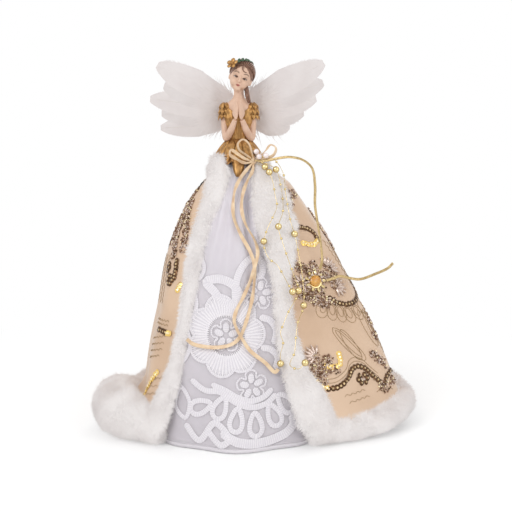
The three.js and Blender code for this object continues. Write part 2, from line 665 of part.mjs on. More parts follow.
function feather(side, order, [length, rise]) {
  const half = FEATHER_HALVES[order];
  const outline = new THREE.Shape();
  outline.moveTo(0, -1);
  outline.bezierCurveTo(length * 0.2, -half * 1.25, length, -half * 1.6, length, 0);
  outline.bezierCurveTo(length, half * 1.1, length * 0.3, half * 1.2, 0, 1);
  const flat = { depth: FEATHER_THICK, bevelEnabled: false, curveSegments: 9 };
  const blade = new THREE.ExtrudeGeometry(outline, flat);
  blade.rotateX(Math.PI / 2);
  blade.rotateY(-rad(rise));
  if (side < 0) blade.scale(-1, 1, 1);
  const back = featherFront + FEATHER_THICK + order * (FEATHER_THICK + PRESS_GAP);
  const rootZ = FEATHER_ROOT_RISE - order * FEATHER_ROOT_STEP;
  blade.translate(side * (WING_PIVOT_X + FEATHER_ROOT_OUT), back, rootZ);
  return solid(blade);
}

function wingWire(side, extra) {
  const bend = PAD_RISE + PAD_HEIGHT / 2;
  const stop = PAD_RISE - PAD_HEIGHT / 2 - WIRE_STOP_R - PRESS_GAP;
  const at = (out, z) => new THREE.Vector3(side * (WING_PIVOT_X + out), pivotY, z);
  const along = (share) => at(WIRE_REACH * share, bend + WIRE_CLIMB * share + WIRE_BEND);
  const inChannel = [at(0, stop), at(0, PAD_RISE), at(0, bend)];
  const route = [...inChannel, at(WIRE_BEND, bend + 1.5 * WIRE_BEND), along(0.33), along(0.66), along(1)];
  return limb(route, () => WIRE_R + extra, 18, 6).add(ball(at(0, stop), WIRE_STOP_R));
}

for (const [name, side, lengths] of [["left", -1, LEFT_FEATHERS], ["right", 1, RIGHT_FEATHERS]]) {
  addPiece(`${name}_wing_wire`, wingWire(side, 0), WIRE, figure);
  lengths.forEach((size, order) => {
    addPiece(`${name}_wing_feather_${order + 1}`, feather(side, order, size), FEATHER, figure);
  });
  const depth = 10 * FLUFF_DEPTH;
  const behind = new THREE.BoxGeometry(8 * WIRE_REACH, depth, 8 * FLUFF_HALF_HEIGHT);
  behind.translate(0, featherFront - PRESS_GAP + depth / 2, FLUFF_RISE);
  const tuftX = side * (WING_PIVOT_X + FLUFF_OUT);
  const centre = new THREE.Vector3(tuftX, featherFront - FLUFF_DEPTH / 2, FLUFF_RISE);
  const tuft = ellipsoid(centre, [FLUFF_HALF_WIDTH, FLUFF_DEPTH, FLUFF_HALF_HEIGHT], undefined, 12, 8);
  addPiece(`${name}_wing_fluff`, without(tuft, [solid(behind), wingWire(side, PRESS_GAP)]), FEATHER, figure);
}

// Ribbon: a flat band along a smooth line, facing outwards, gathered where it enters the knot
function ribbon(points, facing, steps, pinchStart, pinchEnd) {
  const curve = new THREE.CatmullRomCurve3(points, false, "centripetal");
  const rings = [];
  for (let i = 0; i <= steps; i++) {
    const t = i / steps;
    const centre = curve.getPointAt(t);
    const along = curve.getTangentAt(t);
    const across = along.clone().cross(facing(centre)).normalize();
    const out = across.clone().cross(along).normalize();
    const near = Math.min(pinchStart ? t : 1, pinchEnd ? 1 - t : 1) * curve.getLength();
    const half = (RIBBON_PINCH + (RIBBON_WIDTH - RIBBON_PINCH) * smooth(0, 2 * RIBBON_WIDTH, near)) / 2;
    const corner = (a, b) => {
      const edge = centre.clone().addScaledVector(across, a * half);
      return edge.addScaledVector(out, (b * RIBBON_THICK) / 2);
    };
    rings.push([corner(-1, -1), corner(1, -1), corner(1, 1), corner(-1, 1)]);
  }
  return solid(loft(rings));
}

const toViewer = () => new THREE.Vector3(0, -1, 0.25);
const fromAxis = (p) => new THREE.Vector3(p.x, p.y, 0).normalize().setZ(0.45);
const atKnot = (x, y, z) => new THREE.Vector3(x, y, z).setLength(KNOT_R + PRESS_GAP).toArray();

// Bow loops, as offsets from the knot
const RIGHT_LOOP = [
  [6.4, -2.2, 4.4], [10.2, -3.4, 8.6], [14.2, -4, 13], [18.4, -4.4, 10.6], [16.6, -5, 5],
  [9, -4.6, 1.6],
];
const UPPER_LOOP = [
  [-1.4, -3, 8], [-3.6, -3.6, 14], [-8.4, -4, 17.4], [-12.4, -4, 14], [-11.4, -3.6, 9],
  [-6.2, -3, 5],
];
const LOWER_LOOP = [
  [-8, -5.6, 2.6], [-14, -6.4, 6.8], [-18, -6.4, 9], [-19, -6, 5.6], [-13, -5.4, 1.2],
  [-7, -4.4, -1.6],
];
const LOOPS = [
  ["bow_loop_right", [atKnot(2.2, -0.6, 1.8), ...RIGHT_LOOP, atKnot(2.4, -1.5, 0.4)]],
  ["bow_loop_upper", [atKnot(-0.2, -1, 2.7), ...UPPER_LOOP, atKnot(-1.8, -1, 2)]],
  ["bow_loop_lower", [atKnot(-2.6, -1.2, 0.3), ...LOWER_LOOP, atKnot(-1.9, -1.7, -1.3)]],
];
for (const [name, route] of LOOPS) {
  addPiece(name, ribbon(route.map(fromKnot), toViewer, 26, true, true), RIBBON);
}

// Free ribbons: two tails down the lace, one arched over to the brooch, and the end that leaves the brooch
const places = (list) => list.map(([x, y, z]) => new THREE.Vector3(x, y, z));
const TAIL_LEFT = [
  [7, -25.5, 209.5], [1.6, -28.5, 202.5], [-2.8, -30, 193], [-4.3, -34, 181], [-3.4, -39.2, 171],
  [2.3, -46, 158], [9, -50.6, 146.4], [12.6, -55, 137], [13, -61, 124], [11.5, -67.4, 111.3],
  [8.8, -73.2, 100.4], [5, -79.4, 89], [1.9, -82.8, 82.6], [-4.2, -84.6, 77.5], [-15, -83.8, 74.8],
  [-26.5, -81.4, 75], [-35, -80.6, 77], [-39, -83, 81],
];
const TAIL_RIGHT = [
  [11.4, -25.8, 208], [7.6, -27, 201], [3.4, -30.6, 189], [2.8, -36.4, 177], [6.3, -42, 165.6],
  [12, -46.4, 156.3], [14.8, -50, 150], [15.6, -53.4, 143.5], [13.6, -58, 135], [9, -64.2, 121.7],
  [4.2, -69.8, 111.5], [-1, -74.4, 102], [-2.6, -78, 94.8], [-0.6, -81.8, 89], [2.7, -84.6, 83.4],
  [9.7, -87, 73], [21.2, -87.6, 63.7], [29, -89, 56.5], [31.4, -89.4, 59],
];
const ARCH = [
  [19, -25.5, 216.4], [25.6, -28.5, 217.2], [33.6, -31, 218.9], [41.6, -34, 219.7], [51.9, -37, 217.4],
  [59, -39, 211.1], [61.4, -41, 197.6], [61.4, -43, 181.8], [63.8, -44.5, 165.9], [66.2, -46, 150],
  [67, -49, 138], [65, -54.5, 131.5],
];
const FREE_END = [
  [70.5, -49.4, 121.9], [76, -46.6, 123], [82, -43.5, 124.5], [90.4, -40, 122.3], [98.8, -37, 121.1],
  [111, -35, 125], [121.7, -34, 129.8], [125.8, -33, 133.8],
];
const knotEnd = (x, y, z) => fromKnot(atKnot(x, y, z));
const tailLeft = [knotEnd(-0.9, -1.7, -2.1), ...places(TAIL_LEFT)];
const tailRight = [knotEnd(0.3, -1.7, -2.3), ...places(TAIL_RIGHT)];
addPiece("ribbon_tail_left", ribbon(tailLeft, fromAxis, 54, true, false), RIBBON);
addPiece("ribbon_tail_right", ribbon(tailRight, fromAxis, 54, true, false), RIBBON);
const arch = [knotEnd(1.2, -2.6, 0.4), ...places(ARCH)];
addPiece("ribbon_arch", ribbon(arch, fromAxis, 36, true, false), RIBBON);
addPiece("ribbon_free_end", ribbon(places(FREE_END), fromAxis, 22, false, false), RIBBON);

// Bead strands: gold balls moulded on a thread that hangs from the knot down the right fur edge
const STRANDS = [
  {
    route: [
      [21.5, -27, 211.5], [25, -30.2, 207.5], [28, -34.5, 199], [29.5, -39.5, 190],
      [31, -44.5, 181], [27, -50.5, 171.5], [23, -53.6, 163], [20.4, -55.4, 154],
      [21.4, -58, 147], [24.5, -61.5, 141], [31, -68, 136.5], [37, -73, 126.5],
      [42.5, -76, 117],
    ],
    balls: [2, 8, 13],
  },
  {
    route: [
      [23, -26.5, 214], [30.5, -28, 209.5], [34.5, -29, 195.5], [36, -38.5, 182],
      [35.5, -46, 175.5], [32, -53.5, 165.5], [35, -59, 154], [38, -63, 145],
      [43.5, -67.5, 129.5], [47.5, -71.2, 117], [43, -80, 108.5], [40, -82.5, 104],
      [35.5, -86, 94], [33, -89.5, 87], [35, -91, 80], [33, -91, 71],
      [33, -92.5, 64],
    ],
    balls: [2, 6, 10, 17],
  },
  {
    route: [
      [25, -21.5, 219.5], [31, -21, 215.5], [36.5, -24, 206], [38, -33, 191.5],
      [40.5, -39.5, 176.5], [42, -44, 168.5], [45, -47.5, 159], [48, -53.5, 144],
      [51, -62, 124.5], [51.5, -71, 105.5], [46, -87.5, 93.5], [44.5, -93, 82.5],
      [43.5, -96.5, 73.5], [40, -98, 64], [46.5, -99.5, 61.5], [51.5, -98.5, 66],
    ],
    balls: [7, 10, 16],
  },
];
const STRAND_STARTS = [[1.4, -1.8, -1.9], [2.2, -1.6, -1], [1.6, 0.6, 2.3]];
STRANDS.forEach(({ route, balls }, i) => {
  const line = new THREE.CatmullRomCurve3([knotEnd(...STRAND_STARTS[i]), ...places(route)]);
  const section = new THREE.Shape();
  section.absarc(0, 0, THREAD / 2, 0, 2 * Math.PI);
  const thread = new THREE.ExtrudeGeometry(section, { steps: 26, extrudePath: line, curveSegments: 4 });
  const beads = balls.map((place) => ball(places(route)[place - 1], BALL_R));
  addPiece(`bead_strand_${i + 1}`, joined([solid(thread), ...beads]), BEAD);
});

// Brooch: an amber stone in a setting ringed with crystals, flat on the robe
const broochAngle = rad(BROOCH_DEG);
const onRobe = (angle, z) => polar(angle, robeOuter(angle, z), z);
const broochSeat = onRobe(broochAngle, BROOCH_Z);
const sideways = onRobe(broochAngle + 0.02, BROOCH_Z).sub(onRobe(broochAngle - 0.02, BROOCH_Z)).normalize();
const upwards = onRobe(broochAngle, BROOCH_Z + 2).sub(onRobe(broochAngle, BROOCH_Z - 2)).normalize();
const outwards = sideways.clone().cross(upwards).normalize();
const broochTurn = new THREE.Matrix4().makeBasis(sideways, outwards.clone().cross(sideways), outwards);
const onBrooch = (x, y, z) => new THREE.Vector3(x, y, z).applyMatrix4(broochTurn).add(broochSeat);
const settingBack = FIT_GAP;
const settingDisc = new THREE.CylinderGeometry(SETTING_R, SETTING_R, SETTING_THICK, 20);
settingDisc.rotateX(Math.PI / 2);
settingDisc.applyMatrix4(broochTurn);
settingDisc.translate(...onBrooch(0, 0, settingBack + SETTING_THICK / 2).toArray());
const crystals = Array.from({ length: CRYSTALS }, (_, i) => {
  const turn = (2 * Math.PI * i) / CRYSTALS;
  const reach = SETTING_R + 0.75 * CRYSTAL_HALF_LENGTH;
  const centre = onBrooch(reach * Math.cos(turn), reach * Math.sin(turn), settingBack + SETTING_THICK);
  const spin = new THREE.Matrix4().makeRotationZ(turn).premultiply(broochTurn);
  return ellipsoid(centre, [CRYSTAL_HALF_LENGTH, CRYSTAL_HALF_WIDTH, SETTING_THICK], spin, 6, 3);
});
addPiece("brooch_setting", joined([solid(settingDisc), ...crystals]), CRYSTAL);
const dome = new THREE.SphereGeometry(1, 14, 5, 0, 2 * Math.PI, 0, Math.PI / 2);
const domeFloor = new THREE.CircleGeometry(1, 14);
dome.rotateX(Math.PI / 2);
domeFloor.rotateX(Math.PI);
const stone = mergeGeometries([dome, domeFloor]);
stone.scale(STONE_R, STONE_R, STONE_HEIGHT);
stone.applyMatrix4(broochTurn);
stone.translate(...onBrooch(0, 0, settingBack + SETTING_THICK + PRESS_GAP).toArray());
addPiece("brooch_stone", solid(stone), AMBER);

export default angel;
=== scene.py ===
# Angel tree topper: a gold cast angel on a card cone, in a white lace skirt and a champagne satin robe
# edged with white fur, with feather wings, a ribbon bow, bead strands and a jewelled brooch.
# Sizes are in millimetres and are turned into metres as each piece is finished. -Y is the front.
import math

import bmesh
import bpy
import numpy as np
from mathutils import Matrix, Vector, kdtree, noise


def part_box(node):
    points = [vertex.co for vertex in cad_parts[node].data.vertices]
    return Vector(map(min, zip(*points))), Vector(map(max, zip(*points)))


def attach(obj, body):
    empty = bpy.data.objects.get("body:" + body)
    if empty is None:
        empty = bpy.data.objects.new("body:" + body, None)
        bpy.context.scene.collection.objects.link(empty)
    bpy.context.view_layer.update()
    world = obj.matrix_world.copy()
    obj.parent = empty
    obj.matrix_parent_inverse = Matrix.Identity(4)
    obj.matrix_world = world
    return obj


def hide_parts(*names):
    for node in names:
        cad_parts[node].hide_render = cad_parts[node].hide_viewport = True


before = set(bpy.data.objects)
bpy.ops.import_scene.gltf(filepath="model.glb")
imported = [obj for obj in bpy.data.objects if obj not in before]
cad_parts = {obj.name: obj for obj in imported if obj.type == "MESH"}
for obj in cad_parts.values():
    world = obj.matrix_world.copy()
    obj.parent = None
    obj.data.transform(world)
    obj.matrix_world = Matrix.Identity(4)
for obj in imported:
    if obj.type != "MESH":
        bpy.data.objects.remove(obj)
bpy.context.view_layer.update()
MM = 0.001

# Studio: a white floor and world with three soft lamps. The camera stands 0.85 m in front of the figure,
# a little above its waist, and looks slightly down.
CAMERA_PLACE = (0.01428, -0.850, 0.240)
CAMERA_DIP_DEG = 7.01
CAMERA_LENS = 71.16
WORLD_LIGHT = 0.78
FLOOR_HALF = 4.0
FLOOR_DROP = 0.0006
FLOOR_GREY = 0.88
FLOOR_LIFT = 0.16
FLOOR_FADE = (0.20, 0.46)
LAMPS = {
    "key_lamp": ((-0.75, -1.0, 1.0), 0.7, 6.0),
    "fill_lamp": ((0.95, -0.9, 0.5), 0.9, 3.0),
    "back_lamp": ((0.5, 0.9, 1.0), 0.8, 2.5),
}
LAMP_AIM = Vector((0, 0, 0.15))

scene = bpy.context.scene
scene.view_settings.view_transform = "Standard"
camera = bpy.data.objects.new("camera", bpy.data.cameras.new("camera"))
camera.location = CAMERA_PLACE
camera.rotation_euler = (math.radians(90 - CAMERA_DIP_DEG), 0, 0)
camera.data.lens = CAMERA_LENS
scene.collection.objects.link(camera)
scene.camera = camera

for lamp_name, (lamp_place, lamp_width, lamp_watts) in LAMPS.items():
    lamp = bpy.data.objects.new(lamp_name, bpy.data.lights.new(lamp_name, "AREA"))
    lamp.data.energy = lamp_watts
    lamp.data.size = lamp_width
    lamp.location = lamp_place
    lamp.rotation_euler = (LAMP_AIM - lamp.location).to_track_quat("-Z", "Y").to_euler()
    scene.collection.objects.link(lamp)


def node(tree, kind, inputs=None, **settings):
    """A new shader node with its settings; an input is a value or another node's output socket."""
    made = tree.nodes.new("ShaderNode" + kind)
    for name, value in settings.items():
        setattr(made, name, value)
    for name, value in (inputs or {}).items():
        if isinstance(value, bpy.types.NodeSocket):
            tree.links.new(value, made.inputs[name])
        else:
            made.inputs[name].default_value = value
    return made


def seen_directly(tree):
    """A socket that is 1 for what the camera sees itself, in a mirror or through glass."""
    path = node(tree, "LightPath")
    total = path.outputs["Is Camera Ray"]
    for ray in ("Is Glossy Ray", "Is Transmission Ray"):
        total = node(tree, "Math", {0: total, 1: path.outputs[ray]}, operation="MAXIMUM").outputs[0]
    return total


world = bpy.data.worlds.new("studio_world")
world.use_nodes = True
scene.world = world
sky = world.node_tree.nodes["Background"]
sky.inputs["Color"].default_value = (1, 1, 1, 1)
sky_level = node(world.node_tree, "MapRange",
                 {"Value": seen_directly(world.node_tree), "To Min": WORLD_LIGHT, "To Max": 1.0})
world.node_tree.links.new(sky_level.outputs["Result"], sky.inputs["Strength"])

floor_mesh = bmesh.new()
bmesh.ops.create_grid(floor_mesh, x_segments=8, y_segments=8, size=FLOOR_HALF)
bmesh.ops.translate(floor_mesh, vec=(0, 0, -FLOOR_DROP), verts=floor_mesh.verts)
floor = bpy.data.objects.new("studio_floor", bpy.data.meshes.new("studio_floor"))
floor_mesh.to_mesh(floor.data)
floor_mesh.free()
scene.collection.objects.link(floor)

paper = bpy.data.materials.new("studio_paper")
paper.use_nodes = True
paper_tree = paper.node_tree
paper_shader = paper_tree.nodes["Principled BSDF"]
for socket, value in (("Base Color", (FLOOR_GREY, FLOOR_GREY, FLOOR_GREY, 1)), ("Roughness", 1.0),
                      ("Specular IOR Level", 0.0), ("Emission Color", (1, 1, 1, 1))):
    paper_shader.inputs[socket].default_value = value
paper_lift = node(paper_tree, "Math", {0: seen_directly(paper_tree), 1: FLOOR_LIFT}, operation="MULTIPLY")
paper_tree.links.new(paper_lift.outputs[0], paper_shader.inputs["Emission Strength"])
paper_reach = node(paper_tree, "VectorMath", {0: node(paper_tree, "TexCoord").outputs["Object"]},
                   operation="LENGTH")
paper_fade = node(paper_tree, "MapRange", {"Value": paper_reach.outputs["Value"], "From Min": FLOOR_FADE[0],
                                           "From Max": FLOOR_FADE[1]}, interpolation_type="SMOOTHSTEP")
paper_far = node(paper_tree, "Math", {0: paper_fade.outputs["Result"], 1: seen_directly(paper_tree)},
                 operation="MULTIPLY")
paper_mix = node(paper_tree, "MixShader", {"Fac": paper_far.outputs[0], 1: paper_shader.outputs["BSDF"],
                                           2: node(paper_tree, "Emission").outputs["Emission"]})
paper_tree.links.new(paper_mix.outputs["Shader"], paper_tree.nodes["Material Output"].inputs["Surface"])
floor.data.materials.append(paper)

# Card cone: a rolled card cone, open at both ends, glued along its seam. The tree tip goes into it and it
# carries everything else. It shows only from below.
CARD_COLOUR = (0.66, 0.56, 0.42)
CARD_SHADE = (0.56, 0.46, 0.33)
TONE_STOPS = (0.36, 0.64)
GRAIN_DEPTH = 0.0004


def finish(name, colour, shade, grain, roughness, relief=0.0, sockets=None):
    """A material whose colour drifts between two tones over a grain in metres, with a relief to match."""
    material = bpy.data.materials.new(name)
    material.use_nodes = True
    tree = material.node_tree
    shader = tree.nodes["Principled BSDF"]
    shader.inputs["Roughness"].default_value = roughness
    place = node(tree, "TexCoord").outputs["Object"]
    cloud = node(tree, "TexNoise", {"Vector": place, "Scale": 1 / grain, "Detail": 5}).outputs["Fac"]
    tones = node(tree, "ValToRGB", {"Fac": cloud})
    for element, stop, tone in zip(tones.color_ramp.elements, TONE_STOPS, (shade, colour)):
        element.position = stop
        element.color = (*tone, 1)
    tree.links.new(tones.outputs["Color"], shader.inputs["Base Color"])
    gloss = node(tree, "MapRange", {"Value": cloud, "To Min": 0.88 * roughness,
                                    "To Max": min(1.0, 1.12 * roughness)})
    tree.links.new(gloss.outputs["Result"], shader.inputs["Roughness"])
    if relief:
        fine = node(tree, "TexNoise", {"Vector": place, "Scale": 5 / grain, "Detail": 4})
        bump = node(tree, "Bump", {"Height": fine.outputs["Fac"], "Strength": relief,
                                   "Distance": GRAIN_DEPTH})
        tree.links.new(bump.outputs["Normal"], shader.inputs["Normal"])
    for socket, value in (sockets or {}).items():
        shader.inputs[socket].default_value = value
    return material


def dress_node(name, material):
    """Gives a CAD node that stays in view its material."""
    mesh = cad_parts[name].data
    mesh.materials.clear()
    mesh.materials.append(material)


dress_node("cone_core", finish("rolled_card", CARD_COLOUR, CARD_SHADE, 0.004, 0.9, 0.3))

# Underskirt: white satin cut in a flare, gathered on the cone's top edge, with soft folds down to the
# floor and one deep crease below the bow.
CONE_HEIGHT = 214.0
CONE_TOP_R = 12.5
FIT_GAP = 0.4
CLOTH = 1.2
SKIRT_FRONT_R = 112.0
SKIRT_SIDE_R = 66.0
SKIRT_FRONT_BELL = 1.12
SKIRT_SIDE_BELL = 2.3
SKIRT_FOLDS = 12
SKIRT_FOLD_DEPTH = 2.2
GATHERS = 26
GATHER_DEPTH = 1.5
CREASE_DEPTH = 5.0
CREASE_HALF = 3.0
CREASE_TOP = 0.32
CREASE_DRIFT = 0.35
WEAVE_DEPTH = 0.0002
SATIN_WHITE = (0.89, 0.85, 0.885)
SATIN_SHADE = (0.83, 0.79, 0.835)


def ease(low, high, value):
    share = min(1.0, max(0.0, (value - low) / (high - low)))
    return share * share * (3 - 2 * share)


def polar(angle, radius, z):
    """A point at an angle round the axis, counted from the front towards the viewer's right."""
    return Vector((radius * math.sin(angle), -radius * math.cos(angle), z))


def drop(z):
    return max(0.0, (CONE_HEIGHT - z) / CONE_HEIGHT)


def front_share(angle):
    turned = math.atan2(math.sin(angle), math.cos(angle))
    return math.cos(0.9 * turned) ** 2 if abs(turned) < math.radians(100) else 0.0


def skirt_even(angle, z):
    front = front_share(angle)
    top = CONE_TOP_R + FIT_GAP + CLOTH
    hem = SKIRT_SIDE_R + (SKIRT_FRONT_R - SKIRT_SIDE_R) * front
    bell = SKIRT_SIDE_BELL + (SKIRT_FRONT_BELL - SKIRT_SIDE_BELL) * front
    return top + (hem - top) * (1 - max(0.0, 1 - drop(z)) ** bell)


def skirt_face(angle, z):
    """The satin's outside: the even flare, its folds, the gathers at the top and the crease."""
    down = drop(z)
    fold = SKIRT_FOLD_DEPTH * down * math.cos(SKIRT_FOLDS * angle)
    gather = GATHER_DEPTH * ease(0, 0.12, down) * (1 - ease(0.2, 0.6, down))
    ripple = gather * (0.5 + 0.5 * math.cos(GATHERS * angle + 3 * down))
    reach = (angle - CREASE_TOP + CREASE_DRIFT * down) * skirt_even(angle, z) / CREASE_HALF
    crease = CREASE_DEPTH * math.exp(-reach * reach) * ease(0.02, 0.1, down) * (1 - ease(0.16, 0.42, down))
    return skirt_even(angle, z) + fold - ripple - crease


def skirt_place(across, up):
    angle, z = 2 * math.pi * (across - 0.5), CONE_HEIGHT * up
    return polar(angle, skirt_face(angle, z), z)


def cloth_grid(columns, rows, place, joined=False):
    """A sheet with a UV map, placed by shares across and up; its sides may be joined into a tube."""
    bm = bmesh.new()
    bm.loops.layers.uv.new("UVMap")
    bmesh.ops.create_grid(bm, x_segments=columns, y_segments=rows, size=0.5, calc_uvs=True)
    for vert in bm.verts:
        vert.co = place(vert.co.x + 0.5, vert.co.y + 0.5)
    if joined:
        bmesh.ops.remove_doubles(bm, verts=bm.verts, dist=0.01)
    return bm


def piece(name, bm, material, replaces=(), thickness=0.0, flat=False, body="angel_body"):
    """Finishes a bmesh in millimetres as an object in metres that rides on a body."""
    bmesh.ops.scale(bm, vec=(MM, MM, MM), verts=bm.verts)
    mesh = bpy.data.meshes.new(name)
    bm.to_mesh(mesh)
    bm.free()
    mesh.polygons.foreach_set("use_smooth", [not flat] * len(mesh.polygons))
    made = bpy.data.objects.new(name, mesh)
    scene.collection.objects.link(made)
    for each in material if isinstance(material, (list, tuple)) else [material]:
        mesh.materials.append(each)
    if thickness:
        wall = made.modifiers.new("cloth_thickness", "SOLIDIFY")
        wall.thickness = thickness * MM
        wall.offset = -1
    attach(made, body)
    if replaces:
        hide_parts(*replaces)
    return made


def weave(material, pitch, strength):
    """Adds the fine ribs of a woven cloth to a material, along its UV map."""
    tree = material.node_tree
    ribs = node(tree, "TexWave", {"Vector": node(tree, "TexCoord").outputs["UV"], "Scale": 1 / pitch,
                                  "Distortion": 1.5}, bands_direction="Y")
    bump = node(tree, "Bump", {"Height": ribs.outputs["Fac"], "Strength": strength, "Distance": WEAVE_DEPTH})
    normal = tree.nodes["Principled BSDF"].inputs["Normal"]
    for link in list(normal.links):
        tree.links.new(link.from_socket, bump.inputs["Normal"])
    tree.links.new(bump.outputs["Normal"], normal)
    return material


satin_white = weave(finish("white_satin", SATIN_WHITE, SATIN_SHADE, 0.05, 0.55, 0.1,
                           {"Sheen Weight": 0.25, "Sheen Roughness": 0.4}), 0.004, 0.15)
underskirt = piece("underskirt_satin", cloth_grid(240, 56, skirt_place, True), satin_white,
                   ["underskirt"], thickness=CLOTH / 2)

# Lace panel: sheer organza over the front of the skirt, with shade painted in greyer towards its hem where it
# hangs clear of the satin, and with flowers, leaves, swags and a scalloped edge embroidered on it in raised
# white satin stitch, whose ribs carry painted shade.
LACE_THICK = 0.8
LACE_HEM_Z = 3.0
LACE_LEFT_DEG = -60.0
LACE_RIGHT_DEG = 52.5
LACE_SHEER = 0.34
STITCH_PITCH = 1.6
STITCH_HEIGHT = 0.7
RING_RAYS = 18
ORGANZA = (0.88, 0.85, 0.89)
# Painted shade: the greyer tone the organza takes towards its hem, and the share of its height over which it
# fades in.
ORGANZA_HEM_SHADE = (0.70, 0.665, 0.70)
HEM_SHADE_FADE = (0.80, 0.45)
THREAD_WHITE = (0.83, 0.80, 0.825)
THREAD_SHADE = (0.79, 0.76, 0.80)
# Painted shade: the darker tone laid on every other row of satin stitch, for shade between the stitches.
THREAD_RIB_SHADE = (0.66, 0.63, 0.67)


def lace_face(angle, z):
    return skirt_face(angle, z) + FIT_GAP + LACE_THICK


def lace_place(across, up):
    angle = math.radians(LACE_LEFT_DEG + (LACE_RIGHT_DEG - LACE_LEFT_DEG) * across)
    z = LACE_HEM_Z + (CONE_HEIGHT - LACE_HEM_Z) * up
    return polar(angle, lace_face(angle, z), z)


def on_lace(x, z, height):
    """The point of the lace that is seen at x and z from the front, raised off the cloth by a height."""
    angle = 0.0
    for _ in range(12):
        angle = math.asin(max(-0.95, min(0.95, x / (lace_face(angle, z) + height))))
    return polar(angle, lace_face(angle, z) + height, z)


def through(points, step, closed=False):
    """Points at even steps along a smooth line through the given ones (a centripetal spline)."""
    knots = [Vector(p) for p in points]
    if closed:
        ring = [knots[-1], *knots, knots[0], knots[1]]
    else:
        ring = [2 * knots[0] - knots[1], *knots, 2 * knots[-1] - knots[-2]]
    fine = []
    for a, b, c, d in zip(ring, ring[1:], ring[2:], ring[3:]):
        t1 = (b - a).length ** 0.5
        t2 = t1 + (c - b).length ** 0.5
        t3 = t2 + (d - c).length ** 0.5
        for i in range(16):
            t = t1 + (t2 - t1) * i / 16
            ab = a * ((t1 - t) / t1) + b * (t / t1)
            bc = b * ((t2 - t) / (t2 - t1)) + c * ((t - t1) / (t2 - t1))
            cd = c * ((t3 - t) / (t3 - t2)) + d * ((t - t2) / (t3 - t2))
            abc = ab * ((t2 - t) / t2) + bc * (t / t2)
            bcd = bc * ((t3 - t) / (t3 - t1)) + cd * ((t - t1) / (t3 - t1))
            fine.append(abc * ((t2 - t) / (t2 - t1)) + bcd * ((t - t1) / (t2 - t1)))
    fine.append(knots[0].copy() if closed else knots[-1])
    reach = np.concatenate([[0], np.cumsum([(q - p).length for p, q in zip(fine, fine[1:])])])
    count = max(3, round(reach[-1] / step))
    table = np.array([tuple(p) for p in fine])
    spots = np.linspace(0, reach[-1], count + 1)
    line = [Vector(row) for row in zip(*(np.interp(spots, reach, axis) for axis in table.T))]
    return line[:-1] if closed else line


def rolled(bm, rows, around, place, closed, rib=None, shade=None):
    """A closed tube placed by row and turn, its seams and ends merged; a rib layer takes painted shade on
    every other row, or one given share of it.
    """
    made = bmesh.ops.create_grid(bm, x_segments=rows if closed else rows + 1, y_segments=around, size=0.5)
    wide = rows + 1 if closed else rows + 2
    for index, vert in enumerate(made["verts"]):
        row, turn = index % wide, 2 * math.pi * (index // wide) / around
        if rib is not None:
            vert[rib] = row % 2 if shade is None else shade
        if closed:
            vert.co = place(row % rows, turn, 1.0)
        else:
            vert.co = place(min(max(row - 1, 0), rows - 1), turn, 0.0 if row in (0, rows + 1) else 1.0)
    bmesh.ops.remove_doubles(bm, verts=made["verts"], dist=1e-3)


def outward(bm):
    """Turns the faces of closed shapes to look outwards."""
    bmesh.ops.recalc_face_normals(bm, faces=bm.faces)
    return bm


def tinted(material, colour, share):
    """Blends a colour into a material's own, by the share that a socket gives."""
    tree = material.node_tree
    base = tree.nodes["Principled BSDF"].inputs["Base Color"]
    mix = node(tree, "Mix", {"Factor": share, "A": base.links[0].from_socket, "B": (*colour, 1)},
               data_type="RGBA")
    tree.links.new(mix.outputs["Result"], base)
    return material


def stitched(bm, path, width, closed=False, height=STITCH_HEIGHT, shade=None):
    """A band of satin stitch along a path on the lace, seen from the front, with painted shade on every other
    rib or one given share of it all along.
    """
    line = through([(x, 0, z) for x, z in path], STITCH_PITCH / 2, closed)
    count = len(line)

    def place(row, turn, full):
        here = line[row]
        after = line[(row + 1) % count] if closed else line[min(row + 1, count - 1)]
        before = line[row - 1] if closed else line[max(row - 1, 0)]
        along = (after - before).normalized()
        tip = 1.0 if closed else min(1.0, 0.35 + 0.3 * min(row, count - 1 - row))
        rib = 1.0 if row % 2 else 0.45
        across = 0.5 * width * tip * math.cos(turn) * full
        up = 0.5 * height * tip * rib * (0.4 + math.sin(turn) * full)
        return on_lace(here.x - along.z * across, here.z + along.x * across, up)

    rolled(bm, count, 6, place, closed, bm.verts.layers.float["rib"], shade)


def lace_flower(bm, x, z, size, turn_deg):
    """A five-petal flower: padded petals round a small eye, inside a corded outline."""
    outline = []
    for i in range(5):
        turn = math.radians(turn_deg + 72 * i)
        near, far = 0.22 * size, 0.92 * size
        stitched(bm, [(x + near * math.cos(turn), z + near * math.sin(turn)),
                      (x + 0.6 * size * math.cos(turn), z + 0.6 * size * math.sin(turn)),
                      (x + far * math.cos(turn), z + far * math.sin(turn))], 0.46 * size)
        for lean, reach in ((-24, 1.02), (0, 1.18), (24, 1.02), (36, 0.66)):
            side = turn + math.radians(lean)
            outline.append((x + reach * size * math.cos(side), z + reach * size * math.sin(side)))
    stitched(bm, outline, 0.13 * size, True, 0.7 * STITCH_HEIGHT)


